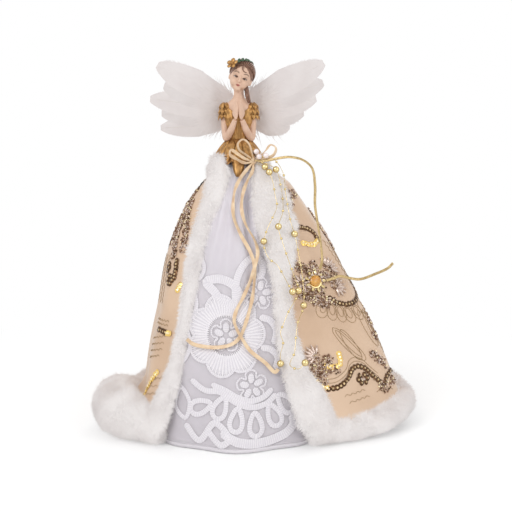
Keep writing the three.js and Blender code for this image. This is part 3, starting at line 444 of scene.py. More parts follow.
def lace_ring(bm, x, z, inner, lobes, lobe_out, lobe_r, turn_deg):
    """A flower ring of round lobes: rays of satin stitch from a round eye out to a corded edge."""
    rim = []
    for i in range(RING_RAYS * lobes):
        turn = 2 * math.pi * i / (RING_RAYS * lobes) + math.radians(turn_deg)
        off = (turn - math.radians(turn_deg) + math.pi / lobes) % (2 * math.pi / lobes) - math.pi / lobes
        reach = lobe_out * math.cos(off) + math.sqrt(max(0.0, lobe_r ** 2 - (lobe_out * math.sin(off)) ** 2))
        rim.append((math.cos(turn), math.sin(turn), reach))
    # Every other ray starts further out, sits lower and takes painted shade.
    for i, (right, up, reach) in enumerate(rim):
        start = inner + 1.1 * (i % 2)
        stitched(bm, [(x + r * right, z + r * up) for r in (start, 0.5 * (start + reach), reach)],
                 1.25, False, (0.9 - 0.4 * (i % 2)) * STITCH_HEIGHT, 0.85 * (i % 2))
    stitched(bm, [(x + reach * right, z + reach * up) for right, up, reach in rim], 2.0, True)


organza = finish("white_organza", ORGANZA, SATIN_SHADE, 0.02, 0.6, 0.1,
                 {"Alpha": LACE_SHEER, "Sheen Weight": 0.2})
net = organza.node_tree
# Painted shade: the organza is tinted greyer towards its hem, by height on its UV map, for the shade where it
# hangs clear of the satin.
net_height = node(net, "SeparateXYZ", {"Vector": node(net, "TexCoord").outputs["UV"]})
net_hem_shade = node(net, "MapRange", {"Value": net_height.outputs["Y"], "From Min": HEM_SHADE_FADE[0],
                                  "From Max": HEM_SHADE_FADE[1]})
tinted(organza, ORGANZA_HEM_SHADE, net_hem_shade.outputs["Result"])
lace_panel = piece("lace_organza", cloth_grid(150, 60, lace_place), organza, ["lace_panel"],
                   thickness=LACE_THICK / 2)

ARCH_BAND = [(-1.4, 106), (-2, 116), (0.5, 128), (6, 136.5), (13.5, 140.5), (18.5, 137), (19.5, 130),
             (16, 124.5)]
LEAF_BAND = [(-25, 122), (-13, 124), (-3, 119.5), (1.5, 111), (-3, 105.5), (-12, 107.5), (-18, 114)]
SWAGS = [
    [(-36, 50), (-25, 43), (-13, 42.5), (-4, 37.5), (9.5, 32.3), (21.5, 33.5), (30, 40)],
    [(-20, 47.5), (-9, 44), (0, 39.5), (10, 36.5), (20, 38.5), (27, 44)],
]
SCROLLS = [
    ([(17, 96), (25, 93.5), (30, 86), (28, 76)], 5.0),
    ([(18, 74), (26, 72), (31, 66), (29, 58)], 4.6),
]
LACE_FLOWERS = [(-9.0, 83, 10.2, 90), (17, 113.5, 10.2, 80), (11, 47, 9.8, 95)]
TEARDROPS = [(-28, 31, 200), (-13, 31.5, 245), (-0.5, 23.5, 262), (14, 19.8, 275), (28, 25, 295),
             (37, 33, 310)]
TEARDROP_HALF = (8.2, 5.6)
ZIGZAG = [(-40, 18), (-29, 7), (-17, 20.5), (-6, 10.5), (-12, 5.5), (-24, 16)]
HEM_BAND = [(-12, 15), (-3, 9.5), (7, 7), (18, 6.6), (29, 8.4), (38, 12), (43, 18), (42, 25)]
LEFT_LEAVES = [
    [(-31, 141), (-27, 132), (-31, 124), (-35, 132)],
    [(-36, 114), (-32.5, 105), (-36, 95), (-39, 105)],
    [(-42, 88), (-37, 74), (-44, 62), (-47, 76)],
    [(-44, 44), (-37, 34), (-40, 22), (-48, 30)],
]
lace_mesh = bmesh.new()
lace_mesh.verts.layers.float.new("rib")
lace_ring(lace_mesh, -9.0, 83, 13.5, 7, 18.5, 11.5, 105)
for flower in LACE_FLOWERS:
    lace_flower(lace_mesh, *flower)
stitched(lace_mesh, ARCH_BAND, 5.6)
stitched(lace_mesh, LEAF_BAND, 6.6, True)
for scroll in SCROLLS:
    stitched(lace_mesh, *scroll)
for swag in SWAGS:
    stitched(lace_mesh, swag, 4.2)
for drop_x, drop_z, drop_deg in TEARDROPS:
    lean = math.radians(drop_deg)
    loop = []
    for share in np.linspace(0, 2 * math.pi, 12, endpoint=False):
        long = TEARDROP_HALF[0] * math.cos(share)
        wide = TEARDROP_HALF[1] * math.sin(share) * (0.8 + 0.3 * math.cos(share))
        loop.append((drop_x + long * math.cos(lean) - wide * math.sin(lean),
                     drop_z + long * math.sin(lean) + wide * math.cos(lean)))
    stitched(lace_mesh, loop, 3.7, True)
stitched(lace_mesh, ZIGZAG, 4.6)
stitched(lace_mesh, HEM_BAND, 6.6)
for leaf_edge in LEFT_LEAVES:
    stitched(lace_mesh, leaf_edge, 3.0, True)
stitch_thread = finish("white_stitching", THREAD_WHITE, THREAD_SHADE, 0.003, 0.7, 0.25, {"Sheen Weight": 0.3})
# Painted shade: the stitching is darkened along the rib layer, every other row and every other ring ray, for
# shade between stitches.
stitch_rib_shade = node(stitch_thread.node_tree, "Attribute", attribute_name="rib")
tinted(stitch_thread, THREAD_RIB_SHADE, stitch_rib_shade.outputs["Fac"])
embroidery = piece("lace_embroidery", outward(lace_mesh), stitch_thread, ["lace_panel"],
                   flat=True)

# Robe: champagne satin, cut open in front and swept out to the viewer's right, with its front edges and
# its hem sewn into the fur.
ROBE_THICK = 1.4
ROBE_EASE = 2.5
ROBE_SWEEP_TOP = 11.5
ROBE_SWEEP_HEM = 52.0
ROBE_SWEEP_CURVE = 1.18
ROBE_FLICK = 30.0
ROBE_FOLDS = 15
ROBE_FOLD_DEPTH = 1.6
FUR_LEFT_TOP_DEG = -55.0
FUR_LEFT_HEM_DEG = -30.5
FUR_RIGHT_TOP_DEG = 52.0
FUR_RIGHT_HEM_DEG = 26.5
HEM_ROLL_R = 14.0
HEM_ROLL_OUT = 4.0
HEM_ROLL_LEFT_R = 18.5
HEM_ROLL_LEFT_OUT = 16.0
HEM_ROLL_LEFT_DEG = -33.0
HEM_ROLL_RIGHT_DEG = 31.0
CHAMPAGNE = (0.68, 0.49, 0.345)
CHAMPAGNE_SHADE = (0.58, 0.40, 0.27)
TUCK_IN = 13.0
LEFT_PUFF = 6.0
HIP_ARC_DEG = (200, 262, 302, 320)
LEFT_ARC_DEG = (262, 292, 305, 326)
RUMPLE = 1.5


def arc_share(arc, degrees):
    """1 inside an arc of the robe, easing to 0 at its ends."""
    return ease(arc[0], arc[1], degrees) * (1 - ease(arc[2], arc[3], degrees))


def sweep_share(angle):
    degrees = math.degrees(angle) % 360
    right = ease(28, 80, degrees) * (1 - 0.55 * ease(125, 200, degrees))
    return right * (1 - ease(200, 262, degrees))


def robe_even(angle, z):
    down, sweep = drop(z), sweep_share(angle)
    collar = ease(0, 0.08, down)
    stack = SKIRT_FOLD_DEPTH * down + 2 * FIT_GAP + LACE_THICK + ROBE_THICK
    flare = sweep * (ROBE_SWEEP_TOP * collar + ROBE_SWEEP_HEM * down ** ROBE_SWEEP_CURVE)
    flick = ROBE_FLICK * (1 - sweep) * (1 - front_share(angle)) * ease(0.8, 1, down)
    return skirt_even(angle, z) + stack + ROBE_EASE * collar + flare + flick + ROBE_FOLD_DEPTH * down


def robe_face(angle, z):
    """The satin's outside: hanging folds, a few soft rumples and the fullness over the left hip."""
    down, degrees = drop(z), math.degrees(angle) % 360
    fold = ROBE_FOLD_DEPTH * down * math.cos(ROBE_FOLDS * angle)
    spot = polar(angle, 1.0, 0.012 * z)
    rumple = RUMPLE * ease(0.1, 0.4, down) * noise.noise(Vector((2.3 * spot.x, 2.3 * spot.y, 1.4 * spot.z)))
    hip = arc_share(HIP_ARC_DEG, degrees)
    puff = LEFT_PUFF * hip * ease(0.03, 0.16, down) * (1 - ease(0.3, 0.58, down))
    return robe_even(angle, z) + fold + rumple + puff


def left_share(angle):
    return arc_share(LEFT_ARC_DEG, math.degrees(angle))


def roll_radius(angle):
    return HEM_ROLL_R + (HEM_ROLL_LEFT_R - HEM_ROLL_R) * left_share(angle)


def roll_out(angle):
    return HEM_ROLL_OUT + (HEM_ROLL_LEFT_OUT - HEM_ROLL_OUT) * left_share(angle)


def robe_hem_z(angle):
    reach, inside = roll_radius(angle) + FIT_GAP, roll_out(angle) - ROBE_FOLD_DEPTH
    return roll_radius(angle) + math.sqrt(reach * reach - inside * inside)


def edge_angle(top_deg, hem_deg, z):
    return math.radians(hem_deg + (top_deg - hem_deg) * (1 - drop(z)) ** 4)


def left_edge(z):
    return edge_angle(FUR_LEFT_TOP_DEG, FUR_LEFT_HEM_DEG, z)


def right_edge(z):
    return edge_angle(FUR_RIGHT_TOP_DEG, FUR_RIGHT_HEM_DEG, z)


def robe_place(across, up):
    start, end = math.radians(HEM_ROLL_RIGHT_DEG), math.radians(HEM_ROLL_LEFT_DEG) + 2 * math.pi
    hem = robe_hem_z(start + (end - start) * across) - TUCK_IN
    z = hem + (CONE_HEIGHT - hem) * up
    angle = right_edge(z) + (left_edge(z) + 2 * math.pi - right_edge(z)) * across
    return polar(angle, robe_face(angle, z), z)


champagne = weave(finish("champagne_satin", CHAMPAGNE, CHAMPAGNE_SHADE, 0.06, 0.42, 0.12,
                         {"Sheen Weight": 0.3, "Sheen Roughness": 0.35}), 0.003, 0.12)
robe = piece("robe_satin", cloth_grid(260, 60, robe_place), champagne, ["robe"],
             thickness=ROBE_THICK / 2)

# Fur: white plush strips down both front edges of the robe and a thick roll round its hem, each a knitted
# backing with a dense soft pile that lies in swirls and falls into small tufts. The right strip laps over
# the satin above its narrow middle.
FUR_TOP_RISE = 6.0
FUR_FOOT_Z = 9.0
PEPLUM_R = 20.5
PILE = 5.5
PILE_REACH = 3.0
PILE_LEAN_DEG = 58.0
SWIRL = 14.0
SWIRL_SEED = 3
PILE_HALF_WIDTH = 0.22
PILE_COMB = (0.0, 0.0, -0.35)
TUFT_PULL = 0.35
TUFT_HAIRS = 24
FUR_WHITE = (0.79, 0.755, 0.745)
FUR_SHADE = (0.73, 0.69, 0.68)
LEFT_FUR = ([0, 13, 30, 47, 64, 81, 98, 115, 140, 157, 170, 183, 200, 217],
            [11, 11, 10.5, 8.4, 6.7, 5.8, 6.2, 7, 8.4, 8.8, 9.8, 11.4, 13, 13.5],
            [-3, -3, -2, 0, 0, 0, 0, -0.5, -1.6, -2, -1.5, 2, 7, 9])
RIGHT_FUR = ([0, 22, 39, 56, 81, 98, 115, 128, 140, 153, 166, 183, 200, 212, 220],
             [20, 20, 19, 13.3, 11.2, 9.5, 8.6, 9.4, 12.2, 14.9, 16.2, 13.9, 11.3, 11, 9],
             [6, 6, 4.5, 0.5, 0, 0, 0, 0, 0.8, 1, 0.2, -2, -2.5, -2, 0])
HEM_ARCS = (31.0, 95.0, 165.0, 235.0, 285.0, 327.0)
ROLL_SLIM = 0.24
ROLL_KICK = 9.0
ROLL_KICK_ARC_DEG = (46, 80, 120, 165)
ROLL_LEFT_OUT = 3.0
ROLL_LEFT_MORE = 2.0
STRIP_ROWS = 60
STRIP_LIFT = 4.2
STRIP_HIGH = 4.6
SEWN_IN = 1.0
LAP_Z = (100, 130)
LAP_TURN = (-0.25, 0.05)
PILE_FLOOR_Z = 0.3
STRIP_HAIRS = 34000
ARC_HAIRS = 42000


def strands(paths, half_widths, facing):
    """Closed three-sided strands that taper to a point, each with a flat side the way it faces."""
    count, steps, _ = paths.shape
    along = np.diff(paths, axis=1)
    along /= np.linalg.norm(along, axis=2, keepdims=True) + 1e-9
    side = np.cross(along, np.broadcast_to(facing, (count, 3))[:, None, :])
    side /= np.linalg.norm(side, axis=2, keepdims=True) + 1e-9
    up = np.cross(side, along)
    turns = np.radians([30, 150, 270])
    rings = [paths[:, :-1] + half_widths[..., None] * (math.cos(t) * side + math.sin(t) * up) for t in turns]
    body = np.stack(rings, axis=2).reshape(count, 3 * (steps - 1), 3)
    verts = np.concatenate([body, paths[:, -1:]], axis=1)
    faces = [(0, 1, 2)]
    for j in range(3):
        k = (j + 1) % 3
        for i in range(steps - 2):
            low, high = 3 * i, 3 * i + 3
            faces += [(low + j, high + j, high + k), (low + j, high + k, low + k)]
        faces.append((3 * (steps - 2) + j, 3 * (steps - 1), 3 * (steps - 2) + k))
    per = verts.shape[1]
    index = (np.array(faces)[None] + per * np.arange(count)[:, None, None]).reshape(-1)
    mesh = bpy.data.meshes.new("strands")
    mesh.vertices.add(count * per)
    mesh.vertices.foreach_set("co", verts.astype(np.float32).ravel())
    mesh.loops.add(len(index))
    mesh.loops.foreach_set("vertex_index", index.astype(np.int32))
    mesh.polygons.add(len(index) // 3)
    mesh.polygons.foreach_set("loop_start", np.arange(0, len(index), 3, dtype=np.int32))
    mesh.update(calc_edges=True)
    bm = bmesh.new()
    bm.from_mesh(mesh)
    bpy.data.meshes.remove(mesh)
    return bm


def scatter(bm, count, draw):
    """Seeded points spread evenly over a bmesh, with the normals there."""
    bmesh.ops.triangulate(bm, faces=bm.faces)
    bm.normal_update()
    corners = np.array([[v.co[:] for v in face.verts] for face in bm.faces])
    normals = np.array([[v.normal[:] for v in face.verts] for face in bm.faces])
    size = np.linalg.norm(np.cross(corners[:, 1] - corners[:, 0], corners[:, 2] - corners[:, 0]), axis=1)
    chosen = draw.choice(len(size), count, p=size / size.sum())
    share = np.sort(draw.random((count, 2)), axis=1)
    weights = np.stack([share[:, 0], share[:, 1] - share[:, 0], 1 - share[:, 1]], axis=1)[..., None]
    spots = (corners[chosen] * weights).sum(axis=1)
    facing = (normals[chosen] * weights).sum(axis=1)
    return spots, facing / (np.linalg.norm(facing, axis=1, keepdims=True) + 1e-9)


def loose(made):
    """Lets light through a piece of fine hairs, which are far thicker here than real ones."""
    made.visible_shadow = False
    made.visible_diffuse = False


def furred(name, node_name, core, count, pile, seed):
    """Covers a backing with pile: hairs laid over in soft swirls, with their tips drawn into small tufts."""
    draw = np.random.default_rng(seed)
    roots, facing = scatter(core, count, draw)
    swirl = np.array([noise.noise_vector(Vector(root) / SWIRL) for root in roots]) + np.array(PILE_COMB)
    swirl += draw.normal(0, 0.25, (count, 3))
    swirl -= (swirl * facing).sum(axis=1, keepdims=True) * facing
    swirl /= np.linalg.norm(swirl, axis=1, keepdims=True) + 1e-9
    lean = np.radians(draw.normal(PILE_LEAN_DEG, 14, (count, 1)))
    tips = roots + (np.cos(lean) * facing + np.sin(lean) * swirl) * pile * draw.uniform(0.6, 1.2, (count, 1))
    leaders = draw.choice(count, count // TUFT_HAIRS, replace=False)
    tree = kdtree.KDTree(len(leaders))
    for i, leader in enumerate(leaders):
        tree.insert(roots[leader], i)
    tree.balance()
    nearest = leaders[[tree.find(root)[1] for root in roots]]
    tips = tips + TUFT_PULL * (tips[nearest] - tips) * draw.uniform(0.3, 1.0, (count, 1))
    tips[:, 2] = np.maximum(tips[:, 2], PILE_FLOOR_Z)
    paths = np.stack([roots - 0.4 * facing, tips], axis=1)
    hairs = strands(paths, np.full((count, 1), PILE_HALF_WIDTH), facing + draw.normal(0, 0.12, (count, 3)))
    piece(name + "_backing", core, white_fur, [node_name])
    loose(piece(name + "_pile", hairs, white_fur, [node_name], flat=True))


def strip_core(edge, heights, halves, shifts, laps):
    """The backing of a front strip: a flat tube down an edge of the robe that may lap up onto the satin."""
    top = CONE_HEIGHT + FUR_TOP_RISE
    levels = [top + (FUR_FOOT_Z - top) * i / STRIP_ROWS for i in range(STRIP_ROWS + 1)]

    def place(row, turn, full):
        z = levels[row]
        angle = edge(z) + math.radians(np.interp(z, heights, shifts))
        under = max(lace_face(angle, z), PEPLUM_R)
        under += (1 - ease(40, 70, z)) * max(0.0, robe_face(angle, z) - SEWN_IN - under)
        wide = np.interp(z, heights, halves) - PILE_REACH
        end = min(1.0, 0.55 + 0.15 * min(row, STRIP_ROWS - row))
        lump = 1 + 0.10 * noise.noise(Vector((angle * 3, z * 0.09, 4.0)))
        across = wide * end * lump * math.cos(turn) * full
        out = min(STRIP_HIGH, 1.1 * wide) * end * lump * math.sin(turn) * full
        local = angle + across / (under + 6)
        lap = laps * ease(*LAP_Z, z) * ease(*LAP_TURN, local - edge(z))
        base = under + lap * max(0.0, robe_face(local, z) - SEWN_IN - under)
        return polar(local, base + STRIP_LIFT + out, z)

    bm = bmesh.new()
    rolled(bm, len(levels), 14, place, False)
    return outward(bm)


def roll_core(start_deg, end_deg):
    """The backing of one stretch of the hem roll."""
    rows = max(8, int((end_deg - start_deg) / 3))

    def place(row, turn, full):
        degrees = start_deg + (end_deg - start_deg) * row / (rows - 1)
        angle = math.radians(degrees)
        to_end = min(degrees - HEM_ARCS[0], HEM_ARCS[-1] - degrees)
        lump = 1 + 0.07 * noise.noise(Vector((6 * angle, 2 * turn, 1.0)))
        slim = 1 - ROLL_SLIM * (1 - ease(170, 215, degrees))
        left = left_share(angle)
        radius = roll_radius(angle) * slim * min(1.0, 0.8 + 0.04 * to_end) + ROLL_LEFT_MORE * left
        radius = (radius - PILE_REACH) * lump
        middle = robe_even(angle, robe_hem_z(angle)) + roll_out(angle) + ROLL_LEFT_OUT * left
        kick = ROLL_KICK * arc_share(ROLL_KICK_ARC_DEG, degrees)
        rise = PILE_REACH + kick + radius * (1 + math.sin(turn) * full)
        return polar(angle, middle + radius * math.cos(turn) * full, rise)

    bm = bmesh.new()
    rolled(bm, rows, 22, place, False)
    return outward(bm)


noise.seed_set(SWIRL_SEED)
white_fur = finish("white_fur", FUR_WHITE, FUR_SHADE, 0.02, 0.95)
furred("fur_left", "fur_left_edge", strip_core(left_edge, *LEFT_FUR, 0.0), STRIP_HAIRS, PILE, 11)
furred("fur_right", "fur_right_edge", strip_core(right_edge, *RIGHT_FUR, 1.0), STRIP_HAIRS, PILE, 12)
for i, (arc_start, arc_end) in enumerate(zip(HEM_ARCS, HEM_ARCS[1:])):
    furred(f"fur_hem_{i + 1}", "fur_hem", roll_core(arc_start, arc_end), ARC_HAIRS, 1.15 * PILE, 20 + i)

# Bust: one resin casting that plugs the cone, painted as skin at the head, neck and chest. The head leans to
# the viewer's right, with a calm doll's face, painted eyes, brows and lips.
TORSO = [(9.2, 7.0, 222), (8.8, 6.8, 228), (8.6, 6.7, 233), (10, 7.3, 241), (11.4, 7.7, 249.5),
         (11.4, 6.8, 257), (10.2, 5.8, 262.4), (6.8, 5.0, 265.8), (4.7, 4.5, 268.5), (4.2, 4.2, 272),
         (4.3, 4.4, 279)]
BREAST = ((4.6, -4.6, 250.5), (4.4, 4.2, 4.6))
HEAD_TILT_DEG = 19.0
HEAD_SCALE = 1.12
HEAD = (Matrix.Translation((2.0, -1.0, 285.2)) @ Matrix.Rotation(math.radians(HEAD_TILT_DEG), 4, "Y")
        @ Matrix.Scale(HEAD_SCALE, 4))
FACE_HALF = (8.0, 8.8, 11.2)
PAIRED_FORMS = {
    "cheek": ((3.2, -5.5, -5.0), (3.4, 3.1, 3.6)),
    "ear": ((8.0, 0.6, -2.2), (0.9, 1.7, 2.6)),
    "brow_ridge": ((3.4, -7.4, 0.9), (2.3, 1.5, 0.9)),
}
MIDDLE_FORMS = {
    "chin": ((0, -6.2, -9.4), (2.9, 2.6, 2.2)),
    "nose_bridge": ((0, -8.9, -2.0), (0.9, 1.1, 2.6)),
    "nose_tip": ((0, -9.3, -4.1), (1.3, 1.2, 1.0)),
    "mouth": ((0, -6.7, -7.0), (3.4, 2.1, 2.6)),
}
EYE = ((3.2, -7.75, -1.5), (1.5, 0.7, 0.6))
IRIS = ((3.2, -8.3, -1.55), (0.95, 0.3, 0.66))
LID = [(1.7, -8.25, -1.7), (2.6, -8.55, -1.05), (3.8, -8.25, -0.95), (5.1, -7.3, -1.6)]
BROW = [(1.7, -8.75, 1.5), (3.2, -8.6, 2.3), (4.8, -7.6, 2.1), (5.9, -6.6, 1.2)]
BROW_HALVES = [0.15, 0.26, 0.1]
LIP_FORMS = [((0, -8.72, -6.75), (1.8, 0.5, 0.36)), ((0, -8.62, -7.4), (1.15, 0.5, 0.4))]
TO_FRONT = Vector((0, -1, 0))
SKIN = (0.72, 0.49, 0.365)
SKIN_SHADE = (0.67, 0.44, 0.315)
LIPS = (0.44, 0.14, 0.12)
EYE_WHITE = (0.85, 0.82, 0.78)
BROWN_PAINT = (0.10, 0.045, 0.025)


def mirrored(spot, side):
    """A spot of a table that is kept for the viewer's right, on either side (-1 or 1)."""
    return Vector((side * spot[0], spot[1], spot[2]))


def painted(made, index):
    """Puts the faces of a new shape on one of the piece's materials."""
    for face in {face for vert in made["verts"] for face in vert.link_faces}:
        face.material_index = index


def blob(bm, middle, half, placed=Matrix(), index=0, segments=20):
    """An ellipsoid on one of the piece's materials."""
    shape = placed @ Matrix.Translation(middle) @ Matrix.Diagonal((*half, 1.0))
    painted(bmesh.ops.create_uvsphere(bm, u_segments=segments, v_segments=segments // 2 + 2, radius=1.0,
                                      matrix=shape), index)


def band(bm, line, wide, thick, facing, sides=6, closed=False, index=0):
    """A tube along a line, wide across and thick the way it faces (a vector, or a function of the place)."""
    count, old = len(line), len(bm.faces)
    shares = np.linspace(0, 1, count)
    wides = np.interp(shares, np.linspace(0, 1, np.size(wide)), np.ravel(wide)).tolist()
    thicks = np.interp(shares, np.linspace(0, 1, np.size(thick)), np.ravel(thick)).tolist()

    def place(row, turn, full):
        after = line[(row + 1) % count if closed else min(row + 1, count - 1)]
        before = line[row - 1 if closed else max(row - 1, 0)]
        along = (after - before).normalized()
        across = along.cross(facing(line[row]) if callable(facing) else facing).normalized()
        out = across.cross(along)
        return line[row] + full * (wides[row] * math.cos(turn) * across + thicks[row] * math.sin(turn) * out)

    rolled(bm, count, sides, place, closed)
    bm.faces.ensure_lookup_table()
    for i in range(old, len(bm.faces)):
        bm.faces[i].material_index = index


def cast(made, voxel, rounds):
    """Melts a piece's overlapping shapes into one smooth casting."""
    melt = made.modifiers.new("cast", "REMESH")
    melt.mode = "VOXEL"
    melt.voxel_size = voxel * MM
    melt.use_smooth_shade = True
    soften = made.modifiers.new("soften", "SMOOTH")
    soften.factor = 0.5
    soften.iterations = rounds
    return made


torso_line = through([Vector(level) for level in TORSO], 0.8)


def torso_place(row, turn, full, grown=0.0):
    wide, deep, z = torso_line[row]
    return Vector(((wide + grown) * full * math.sin(turn), -(deep + grown) * full * math.cos(turn), z))


skin = finish("skin_paint", SKIN, SKIN_SHADE, 0.006, 0.45, 0.05)
skin_mesh = bmesh.new()
rolled(skin_mesh, len(torso_line), 32, torso_place, False)
for side in (-1, 1):
    blob(skin_mesh, mirrored(BREAST[0], side), BREAST[1])
    for middle, half in PAIRED_FORMS.values():
        blob(skin_mesh, mirrored(middle, side), half, HEAD)
blob(skin_mesh, (0, 0, 0), FACE_HALF, HEAD, segments=32)
for middle, half in MIDDLE_FORMS.values():
    blob(skin_mesh, middle, half, HEAD)
cast(piece("bust_skin", skin_mesh, skin, ["bust"]), 0.36, 16)

face_mesh = bmesh.new()
for side in (-1, 1):
    blob(face_mesh, mirrored(EYE[0], side), EYE[1], HEAD, 0, 14)
    blob(face_mesh, mirrored(IRIS[0], side), IRIS[1], HEAD, 1, 12)
    lid = through([HEAD @ mirrored(spot, side) for spot in LID], 0.4)
    band(face_mesh, lid, 0.4, 0.3, TO_FRONT, 5, index=1)
    brow = through([HEAD @ mirrored(spot, side) for spot in BROW], 0.4)
    band(face_mesh, brow, BROW_HALVES, 0.2, TO_FRONT, 5, index=1)
for middle, half in LIP_FORMS:
    blob(face_mesh, middle, half, HEAD, 2, 14)
face_paints = [finish("eye_white_paint", EYE_WHITE, EYE_WHITE, 0.002, 0.3),
               finish("brown_paint", BROWN_PAINT, (0.07, 0.03, 0.02), 0.002, 0.4),
               finish("lip_paint", LIPS, (0.38, 0.11, 0.09), 0.002, 0.35)]
piece("bust_face", face_mesh, face_paints, ["bust"])

# Bodice, sleeves and peplum: the same casting painted in antique gold. The bodice has a deep V neckline, the
# cap sleeves and the peplum's edge are cut into leaves, and dark wax is left in the grooves.
BODICE_TOP = 263.4
NECKLINE_DEEP = 9.5
NECKLINE_HALF_DEG = 78.0
PEPLUM_TOP_Z = 234.0
PEPLUM_HEM_Z = 216.0
PEPLUM_TOP_R = 8.2
PEPLUM_HEM_R = 21.4
PEPLUM_LEAVES = 13
SLEEVE = (11.4, -0.6, 256.4)
SLEEVE_HALF = (4.4, 4.4, 6.6)
SLEEVE_RINGS = ((9, 249.2, 5.6), (8, 253.2, 5.4), (6, 257.2, 4.4))
SLEEVE_LEAF_LONG = 6.6
WAX_RANGE = (0.42, 0.62)
WAX_MOST = 0.55
POINTED = (0.2, 0.62, 0.88, 1.0, 0.98, 0.84, 0.6, 0.32, 0.06)
ROUNDED = (0.3, 0.6, 0.8, 0.94, 1.0, 1.0, 0.95, 0.8, 0.4)
GOLD = (0.64, 0.36, 0.125)
GOLD_SHADE = (0.40, 0.20, 0.06)
PEPLUM_GOLD = (0.50, 0.26, 0.09)


def antique(material, dark, grain):
    """Darkens a material in streaks, as of dark wax, by a fine noise stretched down the object."""
    tree = material.node_tree
    stretch = node(tree, "VectorMath", {0: node(tree, "TexCoord").outputs["Object"], 1: (1.0, 1.0, 0.2)},
                   operation="MULTIPLY")
    streak = node(tree, "TexNoise", {"Vector": stretch.outputs[0], "Scale": 1 / grain, "Detail": 3})
    amount = node(tree, "MapRange", {"Value": streak.outputs["Fac"], "From Min": WAX_RANGE[0],
                                     "From Max": WAX_RANGE[1], "To Max": WAX_MOST})
    return tinted(material, dark, amount.outputs["Result"])


def leaf(bm, root, tip, half, thick, out, bow=0.0, index=0, outline=POINTED):
    """A leaf from root to tip, bowed outwards, with a raised middle."""
    root, tip, out = Vector(root), Vector(tip), Vector(out)
    line = [root.lerp(tip, i / 8) + out * (bow * math.sin(math.pi * i / 8)) for i in range(9)]
    shape = [half * share for share in outline]
    band(bm, line, shape, [thick, thick, thick, 0.4 * thick], out, 6, index=index)


def bodice_place(across, up):
    turn = 2 * math.pi * (across - 0.5)
    notch = max(0.0, 1 - abs(math.degrees(turn)) / NECKLINE_HALF_DEG)
    z = PEPLUM_TOP_Z - 2 + (BODICE_TOP - NECKLINE_DEEP * notch - PEPLUM_TOP_Z + 2) * up
    row = min(range(len(torso_line)), key=lambda i: abs(torso_line[i].z - z))
    flute = 0.18 * math.cos(30 * turn + 0.25 * z)
    spot = torso_place(row, turn, 1.0, 0.9 + flute)
    swell = sum(math.exp(-((turn - s * 0.72) / 0.42) ** 2 - ((z - 250.5) / 4.6) ** 2) for s in (-1, 1))
    return Vector((spot.x * (1 + 0.08 * swell), spot.y - 2.4 * swell, z))


def peplum_place(across, up):
    turn = 2 * math.pi * (across - 0.5)
    down = 1 - up
    radius = PEPLUM_TOP_R + (PEPLUM_HEM_R - PEPLUM_TOP_R) * down ** 0.85
    radius += 0.45 * down * math.cos(2 * PEPLUM_LEAVES * turn)
    point = 3.0 * down ** 3 * (0.5 + 0.5 * math.cos(PEPLUM_LEAVES * turn))
    return polar(turn, radius, PEPLUM_TOP_Z + (PEPLUM_HEM_Z - PEPLUM_TOP_Z) * down - point)


gold_resin = antique(finish("antique_gold", GOLD, GOLD_SHADE, 0.004, 0.4, 0.12, {"Metallic": 0.6}),
                     (0.16, 0.07, 0.02), 0.0018)
peplum_gold = antique(finish("peplum_gold", PEPLUM_GOLD, GOLD_SHADE, 0.004, 0.4, 0.12, {"Metallic": 0.5}),
                      (0.12, 0.05, 0.015), 0.0018)
piece("bust_bodice", cloth_grid(120, 40, bodice_place, True), gold_resin, ["bust"],
      thickness=0.8)
piece("bust_peplum", cloth_grid(170, 20, peplum_place, True), peplum_gold, ["bust"],
      thickness=0.9)
gold_leaves = bmesh.new()
for i in range(PEPLUM_LEAVES):
    turn = 2 * math.pi * i / PEPLUM_LEAVES
    long = 5.6 if i == 0 else 1.4 * (i % 2)
    leaf(gold_leaves, polar(turn, 9.4, 233), polar(turn, 22.2 + 0.4 * long, 212.4 - 1.6 * long),
         5.0 if i == 0 else 4.4, 1.3, polar(turn, 0.8, 0.6), 1.7, 0, ROUNDED if i == 0 else POINTED)
for side in (-1, 1):
    sleeve = mirrored(SLEEVE, side)
    for ring, (count, low_z, reach) in enumerate(SLEEVE_RINGS):
        for i in range(count):
            turn = 2 * math.pi * (i + 0.5 * ring) / count
            out = Vector((math.cos(turn), math.sin(turn), 0.25))
            middle = Vector((sleeve.x, sleeve.y, low_z))
            leaf(gold_leaves, middle + Vector((0.3 * reach * out.x, 0.3 * reach * out.y, SLEEVE_LEAF_LONG)),
                 middle + Vector((reach * out.x, reach * out.y, 0)), 2.3, 0.6, out, 1.4)
    blob(gold_leaves, sleeve, SLEEVE_HALF)
piece("bust_leaves", outward(gold_leaves), gold_resin, ["bust"])

# Hair, flower and wreath: hair painted auburn, modelled as locks swept back to a bun with a braid on the
# viewer's right, a gold flower over the brow and a wreath of green leaves.
HAIR_MIDDLE = Vector((0, 1.6, 2.0))
HAIR_HALF = Vector((9.0, 9.8, 10.4))
HAIR_LOCKS = 46
BRAID = [(6.0, -2, 277.5), (6.6, -4, 273), (7.4, -5.2, 268.5), (8.8, -5.8, 263.5)]
PLAIT_HALVES = [1.0, 1.0, 0.95, 0.5]
FLOWER = (-8.8, -6.2, 6.4)
FLOWER_FACING = (-0.55, -0.75, 0.35)
WREATH = [(-6.8, -6.2, 7.4), (-4.8, -5.6, 10), (-1.6, -4.2, 11.8), (1.6, -2, 12.4), (3.4, 2, 12.2),
          (4, 6, 10.4)]
AUBURN = (0.29, 0.15, 0.10)
AUBURN_SHADE = (0.16, 0.08, 0.05)
LEAF_GREEN = (0.028, 0.075, 0.03)


def on_hair(direction, lift):
    """A point on the hair's ellipsoid in a direction from its middle."""
    return HEAD @ (HAIR_MIDDLE + Vector(direction).normalized() * HAIR_HALF * (1 + lift))


def off_head(spot):
    return spot - HEAD @ HAIR_MIDDLE


